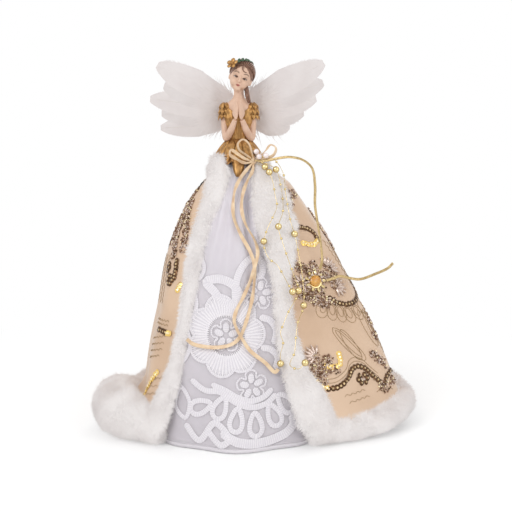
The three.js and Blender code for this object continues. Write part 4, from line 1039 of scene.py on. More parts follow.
auburn = finish("auburn_paint", AUBURN, AUBURN_SHADE, 0.0015, 0.4, 0.15)
hair_mesh = bmesh.new()
blob(hair_mesh, HAIR_MIDDLE, HAIR_HALF * 0.985, HEAD, 0, 32)
for i in range(HAIR_LOCKS):
    share = i / (HAIR_LOCKS - 1)
    turn = math.radians(-128 + 256 * share)
    start = Vector((math.sin(turn), -0.88 * math.cos(turn) + 0.02, 0.62 * math.cos(turn) - 0.08)).normalized()
    bun = Vector((0.25 * math.sin(turn), 1.0, -0.12 + 0.25 * math.cos(turn))).normalized()
    lock = [on_hair(start.lerp(bun, s), 0.025 + 0.04 * math.sin(math.pi * s)) for s in np.linspace(0, 1, 12)]
    band(hair_mesh, lock, [0.35, 0.75, 0.8, 0.6], [0.35, 0.6, 0.6, 0.4], off_head, 6)
bun_line = []
for share in np.linspace(0, 1, 60):
    turn, wide = 5 * math.pi * share, 5.4 * (1 - 0.8 * share)
    bun_line.append(HEAD @ Vector((wide * math.cos(turn), 11.4 + 2.4 * share, -0.5 + wide * math.sin(turn))))
band(hair_mesh, bun_line, 1.5, 1.5, -TO_FRONT, 8)
curl = []
for share in np.linspace(0, 1.15, 16):
    x, z = -1.2 + 3.0 * share + 1.3 * math.cos(5 * share), 7.2 - 2.6 * share + 1.2 * math.sin(5 * share)
    curl.append(HEAD @ Vector((x, -7.9 - 0.5 * share, z)))
band(hair_mesh, curl, [0.3, 0.65, 0.2], 0.4, Vector((0, -1, 0.3)), 6)
braid_line = through(BRAID, 0.6)
for k in range(3):
    plait = [p + Vector((1.1 * math.cos(0.75 * i + 2.1 * k), 0.8 * math.sin(1.5 * i + 4.2 * k), 0))
             for i, p in enumerate(braid_line)]
    band(hair_mesh, plait, PLAIT_HALVES, PLAIT_HALVES, TO_FRONT, 6)
piece("bust_hair", hair_mesh, auburn, ["bust"])

flower_mesh = bmesh.new()
flower_place = HEAD @ Vector(FLOWER)
flower_out = (HEAD.to_3x3() @ Vector(FLOWER_FACING)).normalized()
flower_side = flower_out.cross(Vector((0, 0, 1))).normalized()
flower_up = flower_side.cross(flower_out)
for i in range(5):
    turn = 2 * math.pi * (i + 0.25) / 5
    petal = math.cos(turn) * flower_side + math.sin(turn) * flower_up
    leaf(flower_mesh, flower_place + 0.6 * petal, flower_place + 4.9 * petal + 0.9 * flower_out, 1.9, 0.5,
         flower_out, 0.3, 0, ROUNDED)
blob(flower_mesh, flower_place + 0.6 * flower_out, (1.2, 1.2, 1.2), segments=12)
piece("flower_petals", outward(flower_mesh), gold_resin, ["hair_flower"])

wreath_mesh = bmesh.new()
wreath_line = through([HEAD @ Vector(p) for p in WREATH], 1.6)
band(wreath_mesh, wreath_line, 0.45, 0.45, off_head, 6)
for i, spot in enumerate(wreath_line[:-1]):
    out = off_head(spot).normalized()
    along = (wreath_line[i + 1] - spot).normalized()
    across = along.cross(out) * (1 if i % 2 else -1)
    leaf(wreath_mesh, spot, spot + 2.2 * along + 2.6 * across + 0.5 * out, 1.15, 0.35, out, 0.4)
green = finish("leaf_green", LEAF_GREEN, (0.03, 0.09, 0.03), 0.002, 0.4, 0.1)
piece("wreath_leaves", outward(wreath_mesh), green, ["hair_wreath"])

# Arms: cast separately and glued under the sleeves, bare, with the palms laid together in prayer.
ARM = [(11.8, -1, 253), (11.4, -2.4, 243), (10.4, -4.2, 234.6), (6.6, -9.6, 240.6), (2.9, -13.6, 249.5)]
ARM_RADII = [3.1, 3.0, 2.9, 2.9, 2.0]
HAND = (2.3, -15.0, 0)
HAND_TURN_DEG = 38.0
PALM = ((0, 0, 254.6), (1.3, 2.7, 5.2))
FINGERS = [(-1.9, 262.4), (-0.6, 265.4), (0.7, 265.8), (1.9, 263.2)]
FINGER_HALVES = [0.9, 0.85, 0.55]
THUMB = [(0.2, 1.9, 252.5), (0.3, 2.9, 255.6), (-0.2, 2.6, 258.6)]
THUMB_HALVES = [0.95, 0.9, 0.55]

digits = [([(0, shift, 256), (-0.3, 1.05 * shift, 260.4), (-0.9, 0.9 * shift, tip_z)], FINGER_HALVES)
          for shift, tip_z in FINGERS] + [(THUMB, THUMB_HALVES)]
for side, arm_name in ((-1, "left_arm"), (1, "right_arm")):
    arm_mesh = bmesh.new()
    arm_line = through([mirrored(spot, side) for spot in ARM], 0.7)
    band(arm_mesh, arm_line, ARM_RADII, ARM_RADII, Vector((1, 0.3, 0)), 14)
    hand = (Matrix.Translation(mirrored(HAND, side))
            @ Matrix.Rotation(-side * math.radians(HAND_TURN_DEG), 4, "Z"))
    blob(arm_mesh, *PALM, hand)
    for spots, halves in digits:
        digit = through([hand @ mirrored(spot, side) for spot in spots], 0.6)
        band(arm_mesh, digit, halves, halves, Vector((1, 0, 0)), 8)
    cast(piece(arm_name + "_cast", outward(arm_mesh), skin, [arm_name]), 0.3, 3)

# Wings: white feathers in five layers on each side, wired to a felt pad on the back, with marabou down
# over their roots. Each feather is a shaft that curls to its tip, with a soft vane of fine barbs. The wires
# are wrapped in cotton.
WING_ROOT_X = 12.5
WING_ROOT_TOP_Z = 272.0
WING_ROOT_STEP = 6.5
WING_LAYER_Y = 12.65
WING_LAYER_STEP = 1.4
LEFT_FEATHERS = [(61, 15.5, 8), (53, 12, 2), (64, 8.5, -1), (54, 3, 0), (55, -4, 1)]
RIGHT_FEATHERS = [(64, 15.5, 9), (61, 11, 4), (54, 7.5, 2), (43, 3, 1), (31, -3, 0)]
FEATHER_HALVES = [12, 11.5, 11, 10, 9]
BARBS = 300
BARB_HALVES = [0.32, 0.36, 0.26]
BARBS_TOGETHER = 13
DOWN_HAIRS = 2600
DOWN_HALVES = [0.22, 0.24, 0.18]
DOWN_CLEAR_Y = 9.6
DOWN_CLEAR_X = 17.0
DOWN_CLEAR_FALL = 1.2
COVERTS = 2600
FEATHER_WHITE = (0.72, 0.675, 0.665)
FEATHER_SHADE = (0.68, 0.63, 0.62)
QUILL = (0.58, 0.53, 0.47)
# Painted shade: each feather layer is written a little lighter or darker than the next, so that faint shade
# lines show between the layers.
VANE_SHADE_LEVELS = (1.0, 0.95, 1.0, 0.94, 0.98)


def bulge(share):
    """How wide a feather is along its length: quickly wide, then drawn in to a narrow round end."""
    tip = np.clip(1 - np.clip((share - 0.42) / 0.6, 0, 1) ** 2, 0, 1) ** 0.62
    return tip * (0.42 + 0.58 * np.clip(share / 0.4, 0, 1))


def feather(side, root, length, rise_deg, curl, half, seed):
    """A feather in a layer of the wing: a shaft that curls to its tip and two vanes of parted barbs."""
    draw = np.random.default_rng(seed)
    rise = math.radians(rise_deg)
    along = np.array([side * math.cos(rise), 0, math.sin(rise)])
    across = np.array([-side * math.sin(rise), 0, math.cos(rise)])
    away = np.array([0.0, 1.0, 0.0])

    def spine(long):
        return np.array(root) + np.outer(long, along) + np.outer(curl * (long / length) ** 2, across)

    paths = []
    for edge in (-1, 1):
        share = np.linspace(0.04, 1.0, BARBS)
        start = share * 0.88 * length
        reach = half * bulge(share) * draw.uniform(0.9, 1.06, BARBS)
        parted = np.repeat(draw.normal(0, 1, BARBS // BARBS_TOGETHER + 1), BARBS_TOGETHER)[:BARBS]
        ahead = 0.62 * reach + 0.06 * length * share + 0.35 * parted
        lift = 0.15 * parted + draw.normal(0, 0.15, BARBS)
        steps = []
        for s in (0.0, 0.4, 0.75, 1.0):
            long = start + ahead * (0.55 * s + 0.45 * s * s)
            wide = edge * reach * (1.25 * s - 0.25 * s * s)
            steps.append(spine(long) + np.outer(wide, across) + np.outer(lift * s + 0.5 * s * s, away))
        paths.append(np.stack(steps, axis=1))
    paths = np.concatenate(paths)
    bm = strands(paths, np.tile(BARB_HALVES, (len(paths), 1)), TO_FRONT)
    shaft = [Vector(spot) for spot in spine(length * np.linspace(-0.04, 0.9, 14))]
    band(bm, shaft, [0.5, 0.4, 0.15], [0.7, 0.6, 0.3], TO_FRONT, 6, index=1)
    share = np.linspace(0.02, 0.99, 28)
    vane = [Vector(spot + 0.5 * away) for spot in spine(length * share)]
    band(bm, vane, half * bulge(share), 0.12, TO_FRONT, 10)
    return bm


def down_tuft(side, seed):
    """Marabou down that fans out from a wing's root, kept behind the head, and coverts over its wire."""
    draw = np.random.default_rng(seed)
    share = draw.random(DOWN_HAIRS)
    root = np.stack([side * (WING_ROOT_X - 8 + 20 * draw.random(DOWN_HAIRS)),
                     9.6 + 2.6 * draw.random(DOWN_HAIRS), 247 + 24 * share], axis=1)
    turn = np.radians(-32 + 72 * share) + draw.normal(0, 0.3, DOWN_HAIRS)
    ahead = -0.12 + 0.12 * draw.normal(size=DOWN_HAIRS)
    heading = np.stack([side * np.cos(turn), ahead, np.sin(turn)], axis=1)
    out = draw.uniform(0, 50, COVERTS)
    over = np.stack([side * (7 + out), 9.7 + 0.5 * draw.random(COVERTS), 267 + 0.46 * out], axis=1)
    swept = np.radians(22 + draw.choice([-1, 1], COVERTS) * draw.uniform(6, 34, COVERTS))
    laid = np.stack([side * np.cos(swept), 0.05 * np.ones(COVERTS), np.sin(swept)], axis=1)
    root, heading = np.concatenate([root, over]), np.concatenate([heading, laid])
    length = np.concatenate([draw.uniform(7, 18, DOWN_HAIRS), draw.uniform(5, 9, COVERTS)])[:, None]
    bend = draw.normal(0, 0.16, (len(root), 3)) * [1, 0.4, 1]
    steps = np.stack([root + length * (s * heading + s * s * bend) for s in (0, 0.35, 0.7, 1)], axis=1)
    clear = DOWN_CLEAR_Y - DOWN_CLEAR_FALL * np.maximum(0, np.abs(steps[..., 0]) - DOWN_CLEAR_X)
    steps[..., 1] = np.maximum(steps[..., 1], clear)
    return strands(steps, np.tile(DOWN_HALVES, (len(root), 1)), TO_FRONT)


white_feather = finish("white_feather", FEATHER_WHITE, FEATHER_SHADE, 0.015, 0.8)
quill = finish("feather_quill", QUILL, FEATHER_SHADE, 0.01, 0.5)
# Painted shade: each layer's whites are scaled by its level.
vane_shaded_whites = [finish(f"vane_shaded_white_{k + 1}", [level * c for c in FEATHER_WHITE],
                      [level * c for c in FEATHER_SHADE], 0.015, 0.8) for k, level in enumerate(VANE_SHADE_LEVELS)]
for side, wing, feathers in ((-1, "left_wing", LEFT_FEATHERS), (1, "right_wing", RIGHT_FEATHERS)):
    for k, (length, rise_deg, curl) in enumerate(feathers):
        root = (side * WING_ROOT_X, WING_LAYER_Y + WING_LAYER_STEP * k, WING_ROOT_TOP_Z - WING_ROOT_STEP * k)
        vane = feather(side, root, length, rise_deg, curl, FEATHER_HALVES[k], 40 + 7 * k + side)
        loose(piece(f"{wing}_vane_{k + 1}", vane, [vane_shaded_whites[k], quill],
                    [f"{wing}_feather_{k + 1}"], flat=True, body=wing))
    loose(piece(wing + "_down", down_tuft(side, 70 + side), white_feather, [wing + "_fluff"],
                flat=True, body=wing))
    cotton = finish(wing + "_cotton", (0.84, 0.83, 0.84), (0.78, 0.77, 0.78), 0.001, 0.9, 0.4)
    dress_node(wing + "_wire", cotton)
dress_node("wing_pad", finish("white_felt", (0.85, 0.84, 0.83), (0.78, 0.77, 0.76), 0.002, 0.95, 0.5))

# Bow, ribbons and pearls: 3 mm champagne satin ribbon tied at the waist, with three loops and two long tails
# whose cut ends are sealed by heat. A narrow gold braid arches from the knot to the brooch, and its loose end
# goes on beyond it.
KNOT = Vector((12.05, -20.06, 216.3))
KNOT_R = 2.6
RIBBON_WIDE = 3.0
RIBBON_THICK = 0.5
TUCKED_HALF = 0.6
LOOP_HALVES = [0.6, 1.5, 1.5, 1.5, 1.5, 1.5, 0.6]
LOOPS = {
    "bow_loop_right": [(2.2, -0.6, 1.8), (6.4, -2.2, 4.4), (10.2, -3.4, 8.6), (14.2, -4, 13),
                       (18.4, -4.4, 10.6), (16.6, -5, 5), (9, -4.6, 1.6), (2.4, -1.5, 0.4)],
    "bow_loop_upper": [(-0.2, -1, 2.7), (-1.4, -3, 8), (-3.6, -3.6, 14), (-8.4, -4, 17.4), (-12.4, -4, 14),
                       (-11.4, -3.6, 9), (-6.2, -3, 5), (-1.8, -1, 2)],
    "bow_loop_lower": [(-2.6, -1.2, 0.3), (-8, -5.6, 2.6), (-14, -6.4, 6.8), (-18, -6.4, 9), (-19, -6, 5.6),
                       (-13, -5.4, 1.2), (-7, -4.4, -1.6), (-1.9, -1.7, -1.3)],
}
TAIL_LEFT = [
    (7, -25.5, 209.5), (1.6, -28.5, 202.5), (-2.8, -30, 193), (-4.3, -34, 181), (-3.4, -39.2, 171),
    (2.3, -46, 158), (9, -50.6, 146.4), (12.6, -55, 137), (13, -61, 124), (11.5, -67.4, 111.3),
    (8.8, -73.2, 100.4), (5, -79.4, 89), (1.9, -82.8, 82.6), (-4.2, -84.6, 77.5), (-15, -83.8, 74.8),
    (-26.5, -81.4, 75), (-35, -80.6, 77), (-39, -83, 81)]
TAIL_RIGHT = [
    (11.4, -25.8, 208), (7.6, -27, 201), (3.4, -30.6, 189), (2.8, -36.4, 177), (6.3, -42, 165.6),
    (12, -46.4, 156.3), (14.8, -50, 150), (15.6, -53.4, 143.5), (13.6, -58, 135), (9, -64.2, 121.7),
    (4.2, -69.8, 111.5), (-1, -74.4, 102), (-2.6, -78, 94.8), (-0.6, -81.8, 89), (2.7, -84.6, 83.4),
    (9.7, -87, 73), (21.2, -87.6, 63.7), (29, -89, 56.5), (31.4, -89.4, 59)]
ARCH = [
    (19, -25.5, 216.4), (25.6, -28.5, 217.2), (33.6, -31, 218.9), (41.6, -34, 219.7), (51.9, -37, 217.4),
    (59, -39, 211.1), (61.4, -41, 197.6), (61.4, -43, 181.8), (63.8, -44.5, 165.9), (66.2, -46, 150),
    (67, -49, 138), (65, -54.5, 131.5)]
FREE_END = [
    (70.5, -49.4, 121.9), (76, -46.6, 123), (82, -43.5, 124.5), (90.4, -40, 122.3), (98.8, -37, 121.1),
    (111, -35, 125), (121.7, -34, 129.8), (125.8, -33, 133.8)]
CORD_START = 2.9
PEARLS = ("pearl_1", "pearl_2", "pearl_3")
BRAID_WIDE = 2.2
RIBBON = (0.82, 0.63, 0.42)
RIBBON_SHADE = (0.66, 0.45, 0.27)
BRAID_GOLD = (0.56, 0.42, 0.20)


def from_knot(direction):
    """The point just outside the knot where a ribbon or a thread leaves it."""
    return KNOT + Vector(direction).normalized() * CORD_START


def ribbon_facing(spot):
    """Away from the figure's axis, with a slow twist up the height."""
    out = Vector((spot.x, spot.y, 0)).normalized()
    aside = Vector((-out.y, out.x, 0)) * (0.9 * math.sin(0.16 * spot.z + 0.1 * spot.x))
    return out + aside + Vector((0, 0, 0.45))


def braid_facing(spot):
    """To the front, with a slight slow twist."""
    return Vector((0.45 + 0.3 * math.sin(0.09 * spot.z), -1.0, 0.35))


ribbon = weave(finish("champagne_ribbon", RIBBON, RIBBON_SHADE, 0.006, 0.32, 0.08,
                      {"Sheen Weight": 0.3}), 0.01, 0.1)
knot_mesh = bmesh.new()
blob(knot_mesh, KNOT, (0.9 * KNOT_R, 0.8 * KNOT_R, 0.9 * KNOT_R))
for lean in (-0.9, 0.0, 0.9):
    leant, aside = Matrix.Rotation(lean, 3, "Y"), 0.9 * KNOT_R * math.sin(lean)
    wrap = [KNOT + leant @ Vector((aside, KNOT_R * math.cos(turn), KNOT_R * math.sin(turn)))
            for turn in np.linspace(0, 2 * math.pi, 18, endpoint=False)]
    band(knot_mesh, wrap, 0.9, 0.25, lambda p: p - KNOT, 6, True)
piece("bow_knot_wrap", knot_mesh, ribbon, ["bow_knot"])
for loop_name, offsets in LOOPS.items():
    loop_mesh = bmesh.new()
    loop_line = through([KNOT + Vector(offset) for offset in offsets], 0.8)
    loop_middle = sum(loop_line, Vector()) / len(loop_line)
    band(loop_mesh, loop_line, LOOP_HALVES, RIBBON_THICK / 2,
         lambda p: (p - loop_middle).normalized() + Vector((0, -0.55, 0.3)), 8)
    piece(loop_name + "_ribbon", loop_mesh, ribbon, [loop_name], flat=True)
gold_braid = weave(finish("gold_braid", BRAID_GOLD, (0.40, 0.28, 0.12), 0.002, 0.35, 0.2,
                          {"Metallic": 0.5}), 0.004, 0.3)
for cord_name, start, route, far_end, lay, wide, cloth in (
        ("ribbon_tail_left", (-0.9, -1.7, -2.1), TAIL_LEFT, "bare", "hanging", RIBBON_WIDE, ribbon),
        ("ribbon_tail_right", (0.3, -1.7, -2.3), TAIL_RIGHT, "bare", "hanging", RIBBON_WIDE, ribbon),
        ("ribbon_arch", (1.2, -2.6, 0.4), ARCH, "object", "loose", BRAID_WIDE, gold_braid),
        ("ribbon_free_end", None, FREE_END, "bare", "loose", BRAID_WIDE, gold_braid)):
    points = [Vector(p) for p in route] if start is None else [from_knot(start), *map(Vector, route)]
    line = through(points, 1.2)
    cord_mesh = bmesh.new()
    halves = wide / 2 if start is None else [TUCKED_HALF] + [wide / 2] * 24
    band(cord_mesh, line, halves, RIBBON_THICK / 2, ribbon_facing if cloth is ribbon else braid_facing, 8)
    made = piece(cord_name + "_satin", cord_mesh, cloth, [cord_name], flat=True)
pearl = finish("pearl_lustre", (0.86, 0.76, 0.74), (0.80, 0.70, 0.70), 0.003, 0.22, 0.0,
               {"Coat Weight": 0.6, "Coat Roughness": 0.1})
for pearl_name in PEARLS:
    dress_node(pearl_name, pearl)

# Bead strands: three fine gold threads from the knot down the right fur edge, with polished gold balls and
# small round beads strung on them.
STRANDS = {
    "bead_strand_1": ((1.4, -1.8, -1.9), (1, 2, 8, 13), [
        (21.5, -27, 211.5), (25, -30.2, 207.5), (28, -34.5, 199), (29.5, -39.5, 190), (31, -44.5, 181),
        (27, -50.5, 171.5), (23, -53.6, 163), (20.4, -55.4, 154), (21.4, -58, 147), (24.5, -61.5, 141),
        (31, -68, 136.5), (37, -73, 126.5), (42.5, -76, 117)]),
    "bead_strand_2": ((2.2, -1.6, -1), (2, 6, 10, 17), [
        (23, -26.5, 214), (30.5, -28, 209.5), (34.5, -29, 195.5), (36, -38.5, 182), (35.5, -46, 175.5),
        (32, -53.5, 165.5), (35, -59, 154), (38, -63, 145), (43.5, -67.5, 129.5), (47.5, -71.2, 117),
        (43, -80, 108.5), (40, -82.5, 104), (35.5, -86, 94), (33, -89.5, 87), (35, -91, 80), (33, -91, 71),
        (33, -92.5, 64)]),
    "bead_strand_3": ((1.6, 0.6, 2.3), (7, 10, 16), [
        (25, -21.5, 219.5), (31, -21, 215.5), (36.5, -24, 206), (38, -33, 191.5), (40.5, -39.5, 176.5),
        (42, -44, 168.5), (45, -47.5, 159), (48, -53.5, 144), (51, -62, 124.5), (51.5, -71, 105.5),
        (46, -87.5, 93.5), (44.5, -93, 82.5), (43.5, -96.5, 73.5), (40, -98, 64), (46.5, -99.5, 61.5),
        (51.5, -98.5, 66)]),
}
BALL_R = 2.7
BEAD_R = 1.05
THREAD_R = 0.22
BEAD_GOLD = (0.80, 0.66, 0.36)

bead_gold = finish("bead_gold", BEAD_GOLD, (0.72, 0.56, 0.27), 0.003, 0.12, 0.0,
                   {"Metallic": 1.0, "Specular Tint": (0.30, 0.22, 0.10, 1.0)})
for strand_name, (start, balls, route) in STRANDS.items():
    line = through([from_knot(start), *map(Vector, route)], 1.0)
    thread_mesh = bmesh.new()
    band(thread_mesh, line, THREAD_R, THREAD_R, ribbon_facing, 6)
    thread = piece(strand_name + "_thread", thread_mesh, bead_gold, [strand_name])
    ball_mesh = bmesh.new()
    for number in balls:
        blob(ball_mesh, route[number - 1], (BALL_R, BALL_R, BALL_R), segments=24)
    ball_set = piece(strand_name + "_balls", ball_mesh, bead_gold, [strand_name])
    bead_mesh = bmesh.new()
    for spot in line[6:-4:13]:
        if min((spot - Vector(route[number - 1])).length for number in balls) > BALL_R + 1.5:
            blob(bead_mesh, spot, (BEAD_R, BEAD_R, BEAD_R), segments=10)
    bead_set = piece(strand_name + "_beads", bead_mesh, bead_gold, [strand_name])

# Robe trims: bronze cup sequins in chains, bright gold sequins, bead clusters, crystal flowers and fans, and
# brown thread embroidery, all sewn through the satin. The pattern goes on round the sides and the back in a
# half-drop repeat.
MM_PER_DEGREE = 1.4
SEQUIN_R = 2.5
SEQUIN_MIDDLE_R = 0.85
SEQUIN_STEP = 2.5
SEQUIN_THICK = 0.7
ROSETTE_R = 3.2
THREAD_HALF = 0.22
THREAD_STEP = 1.2
THREAD_LIFT = 0.15
BEAD_DENSITY = 0.75
BRONZE_CUP, GOLD_CUP, CUT_CRYSTAL = 0, 2, 5
BEAD_MIX = [4, 4, 4, 4, 5, 5, 5, 3, 0]
BRONZE_CHAINS = [
    [(53, 164), (58, 163), (62, 161.5), (65.5, 157.5), (64.5, 152.5)],
    [(54.5, 108), (58, 104), (62, 102), (66.5, 102.5), (71, 104.5), (75.5, 109), (77.5, 115), (76, 121)],
    [(41.5, 41), (45, 41.5), (48, 44), (51, 48), (53, 53), (56, 55), (59.5, 53), (62, 47), (65, 40)],
    [(67, 38.5), (69, 43), (73, 45.5), (78, 44.5)],
    [(-49, 137), (-47.5, 130), (-47, 124)],
    [(-50, 83.5), (-46, 83), (-42.5, 82.5)],
    [(-74, 207), (-76, 200), (-77, 192)],
]
GOLD_CHAINS = [
    [(64, 151.5), (60.5, 149.5), (56, 150), (53, 151)],
    [(36.5, 48.5), (38.5, 44.5), (41, 42)],
    [(-41, 119.5), (-41.5, 115)],
    [(-41.5, 82), (-39.5, 82)],
    [(-42, 52), (-45, 46), (-47.5, 40), (-49, 33), (-49.5, 25)],
    [(49, 66.5), (48.5, 59), (45.5, 57), (42, 58)],
]
MEDALLION = [(42, 121, 8), (48, 131, 6), (53, 134, 5), (57, 124, 6), (50, 110, 5.5), (55, 106, 5),
             (46, 108, 6)]
LOWER_BEADS = [(39, 52, 5), (46, 55, 4), (66, 36, 6), (74, 85, 5), (72, 75, 5)]
BEAD_CLUSTERS = [
    (66, 62, 4), (67.5, 57, 4), (69.5, 51, 3), (38.5, 66, 5), (37.5, 58, 5), (42, 60, 5),
    (72, 38, 5), (57.5, 45, 2.5), (66, 189, 5), (60, 184, 5), (44, 133, 6), (41, 112, 6), (52, 116, 5),
    (47, 121, 7), (52, 126, 6), (45, 115, 6),
    (62, 131, 5), (61, 117, 5), (63, 124, 4), (50, 104, 4), (41, 55, 6), (44, 64, 4), (40, 47, 4),
    (70, 56, 4), (-70, 190, 5), (-68, 184, 6), (-72, 178, 6), (-66, 176, 6), (-64, 169, 6), (-72, 168, 6),
    (-62, 162, 6), (-70, 160, 6), (-60, 155, 6), (-67, 152, 6), (-57, 149, 6), (-54, 142, 5),
    (-60, 182, 5), (-57, 175, 5), (-54, 168, 5), (-51, 161, 5), (-49, 154, 5), (-47, 147, 5), (72, 190, 4),
]
ROSETTES = [(-57, 131), (-50.5, 122), (57.5, 45)]
PETALS = [
    (50, 106, 13, 8, 205), (54, 104, 13, 8, 195), (58, 102, 13, 8, 185), (62, 100, 12.5, 8, 178),
    (66.5, 100.5, 12, 8, 170), (71, 102.5, 11, 7, 160), (50, 105, 8, 4, 205), (54, 103, 8, 4, 195),
    (58, 101, 8, 4, 185), (62, 99, 8, 4, 178), (66.5, 99.5, 8, 4, 170), (50, 86, 32, 8, 150),
    (51, 84, 26, 4, 150), (54, 84, 26, 7, 163), (68, 96, 30, 7, 172), (72, 96, 26, 6, 178),
]
WAVES = [
    ((69, 152), (74, 116), 9), ((73, 150), (77, 118), 8), ((71, 94), (74, 60), 8), ((75, 96), (77, 62), 8),
    ((47, 34), (57, 36), 4), ((48, 29), (58, 31), 4), ((62, 33), (70, 32), 3), ((-62, 140), (-56, 102), 10),
    ((-68, 140), (-62, 102), 10), ((-74, 140), (-68, 102), 10), ((-55, 90), (-42, 90), 5),
    ((-55, 87), (-42, 87), 5), ((-56, 74), (-42, 79), 5), ((-56, 69), (-42, 74), 5),
    ((-56, 64), (-42, 69), 5), ((-55, 59), (-43, 64), 5), ((-45, 45), (-37, 49), 3),
    ((-46, 39), (-37, 43), 3), ((-47, 33), (-38, 37), 3),
]
WAVE_SWING = (1.6, 1.4)
CHAIN_ECHOES = (4.0, 7.0)
FANS = [(62, 131, 40), (61, 117, -25), (39, 66, 150)]
FAN_SHAPE = (150, 7, 1.6, 9.0)
FLOWERS = [(42, 121)]
PANEL_FLOWER = (49, 120)
FLOWER_SHAPE = (320, 9, 1.8, 7.0)
PATTERN_TURNS_DEG = (42, 80, 118, 156, 194)
HALF_DROP = 38.0
LOW_PANEL_LIFT = 18
BRONZE = (0.13, 0.065, 0.03)
SEQUIN_GOLD = (0.90, 0.66, 0.26)
BEAD_BROWN = (0.30, 0.17, 0.10)
THREAD_BROWN = (0.42, 0.28, 0.15)
CRYSTAL = (0.80, 0.68, 0.60)


def on_robe(degrees, z, height=0.0):
    angle = math.radians(degrees)
    return polar(angle, robe_face(angle, z) + height, z)


def robe_out(degrees, z):
    """The way the robe faces at an angle and height."""
    across = on_robe(degrees + 0.5, z) - on_robe(degrees - 0.5, z)
    up = on_robe(degrees, z + 1) - on_robe(degrees, z - 1)
    return across.cross(up).normalized()


def along_robe(route, step):
    """Angles and heights at even steps along a route on the robe."""
    line = through([(MM_PER_DEGREE * degrees, 0, z) for degrees, z in route], step)
    return [(spot.x / MM_PER_DEGREE, spot.z) for spot in line]


def facing_matrix(spot, out):
    """Places a shape at a spot with its Z along a direction."""
    return Matrix.Translation(spot) @ out.to_track_quat("Z", "Y").to_matrix().to_4x4()


def sequin(bm, degrees, z, index, draw):
    """A cup sequin lying on the satin: a shallow dished disc with a light middle."""
    out = (robe_out(degrees, z) + Vector(draw.normal(0, 0.14, 3))).normalized()
    placed = facing_matrix(on_robe(degrees, z, SEQUIN_THICK), out)
    made = bmesh.ops.create_cone(bm, cap_ends=True, segments=10, radius1=SEQUIN_R, radius2=SEQUIN_MIDDLE_R,
                                 depth=SEQUIN_THICK, matrix=placed)
    for face in {face for vert in made["verts"] for face in vert.link_faces}:
        face.material_index = index + (len(face.verts) > 4 and face.normal.dot(out) > 0)


def bead_cluster(bm, degrees, z, spread, draw):
    """Small cut beads sewn close together: bronze, champagne and crystal."""
    heap = bmesh.new()
    for _ in range(int(2 * BEAD_DENSITY * spread * spread)):
        reach, turn = 0.8 * spread * math.sqrt(draw.random()), 2 * math.pi * draw.random()
        spot = on_robe(degrees + reach * math.cos(turn) / MM_PER_DEGREE, z + reach * math.sin(turn),
                       0.5 + 0.5 * draw.random())
        made = bmesh.ops.create_icosphere(heap, subdivisions=1, radius=draw.uniform(0.55, 0.95),
                                          matrix=Matrix.Translation(spot))
        painted(made, int(draw.choice(BEAD_MIX)))
    sewn = bpy.data.meshes.new("bead_cluster")
    heap.to_mesh(sewn)
    heap.free()
    bm.from_mesh(sewn)
    bpy.data.meshes.remove(sewn)


def petal_route(degrees, z, long, wide, lean_deg):
    """A loop of thread shaped like a petal, from its root the way it leans from upright."""
    lean, route = math.radians(lean_deg), []
    for turn in np.linspace(0, 2 * math.pi, 13):
        ahead, aside = 0.5 * long * (1 - math.cos(turn)), 0.5 * wide * math.sin(turn)
        route.append((degrees + (ahead * math.sin(lean) + aside * math.cos(lean)) / MM_PER_DEGREE,
                      z + ahead * math.cos(lean) - aside * math.sin(lean)))
    return route


def wave_route(start, end, count):
    """A wavy row of thread from one place to another, across or down the robe."""
    spots = np.linspace(start, end, 2 * count + 1)
    upright = abs(end[1] - start[1]) > abs(end[0] - start[0])
    aside = np.array([WAVE_SWING[0], 0.0] if upright else [0.0, WAVE_SWING[1]])
    return [tuple(spot + aside * (i % 2)) for i, spot in enumerate(spots)]


def carried(spots, turned, lift):
    """Places on the robe carried round it to another panel, every other one higher (a half-drop repeat)."""
    return [(degrees + turned, z + lift, *rest) for degrees, z, *rest in spots]


def crystal_fan(bm, degrees, z, lean_deg, spread_deg, count, near, far):
    """Long cut crystals set in a fan or, all the way round, as a flower."""
    out = robe_out(degrees, z)
    for i in range(count):
        turn = math.radians(lean_deg + spread_deg * (i / max(1, count - 1) - 0.5))
        reach = [on_robe(degrees + r * math.cos(turn) / MM_PER_DEGREE, z + r * math.sin(turn), 1.0)
                 for r in (near, far)]
        leaf(bm, *reach, 1.15, 0.8, out, 0.6, CUT_CRYSTAL)


draw_trim = np.random.default_rng(5)
trim_mesh, sewn_mesh = bmesh.new(), bmesh.new()
chains = [(BRONZE_CUP, route) for route in BRONZE_CHAINS] + [(GOLD_CUP, route) for route in GOLD_CHAINS]
clusters = MEDALLION + LOWER_BEADS + BEAD_CLUSTERS
threads = [petal_route(*petal) for petal in PETALS] + [wave_route(*wave) for wave in WAVES]
threads += [[(a, z + up) for a, z in BRONZE_CHAINS[2]] for up in CHAIN_ECHOES]
flowers = list(FLOWERS)
for panel, turned in enumerate(PATTERN_TURNS_DEG):
    lift = HALF_DROP * (1 - panel % 2)
    chains += [(BRONZE_CUP, carried(route, turned, lift)) for route in BRONZE_CHAINS[1:3]]
    clusters += carried(MEDALLION + LOWER_BEADS, turned, lift)
    flowers += carried([PANEL_FLOWER], turned, lift)
    threads += [carried(petal_route(*petal), turned, lift) for petal in PETALS]
    if not lift:
        chains += [(BRONZE_CUP, carried(BRONZE_CHAINS[0], turned, LOW_PANEL_LIFT)),
                   (GOLD_CUP, carried(GOLD_CHAINS[0], turned, LOW_PANEL_LIFT))]
for index, route in chains:
    for degrees, z in along_robe(route, SEQUIN_STEP):
        sequin(trim_mesh, degrees, z, index, draw_trim)
for degrees, z in ROSETTES:
    for turn in np.radians(np.arange(0, 360, 60)):
        sequin(trim_mesh, degrees + ROSETTE_R * math.cos(turn) / MM_PER_DEGREE,
               z + ROSETTE_R * math.sin(turn), BRONZE_CUP, draw_trim)
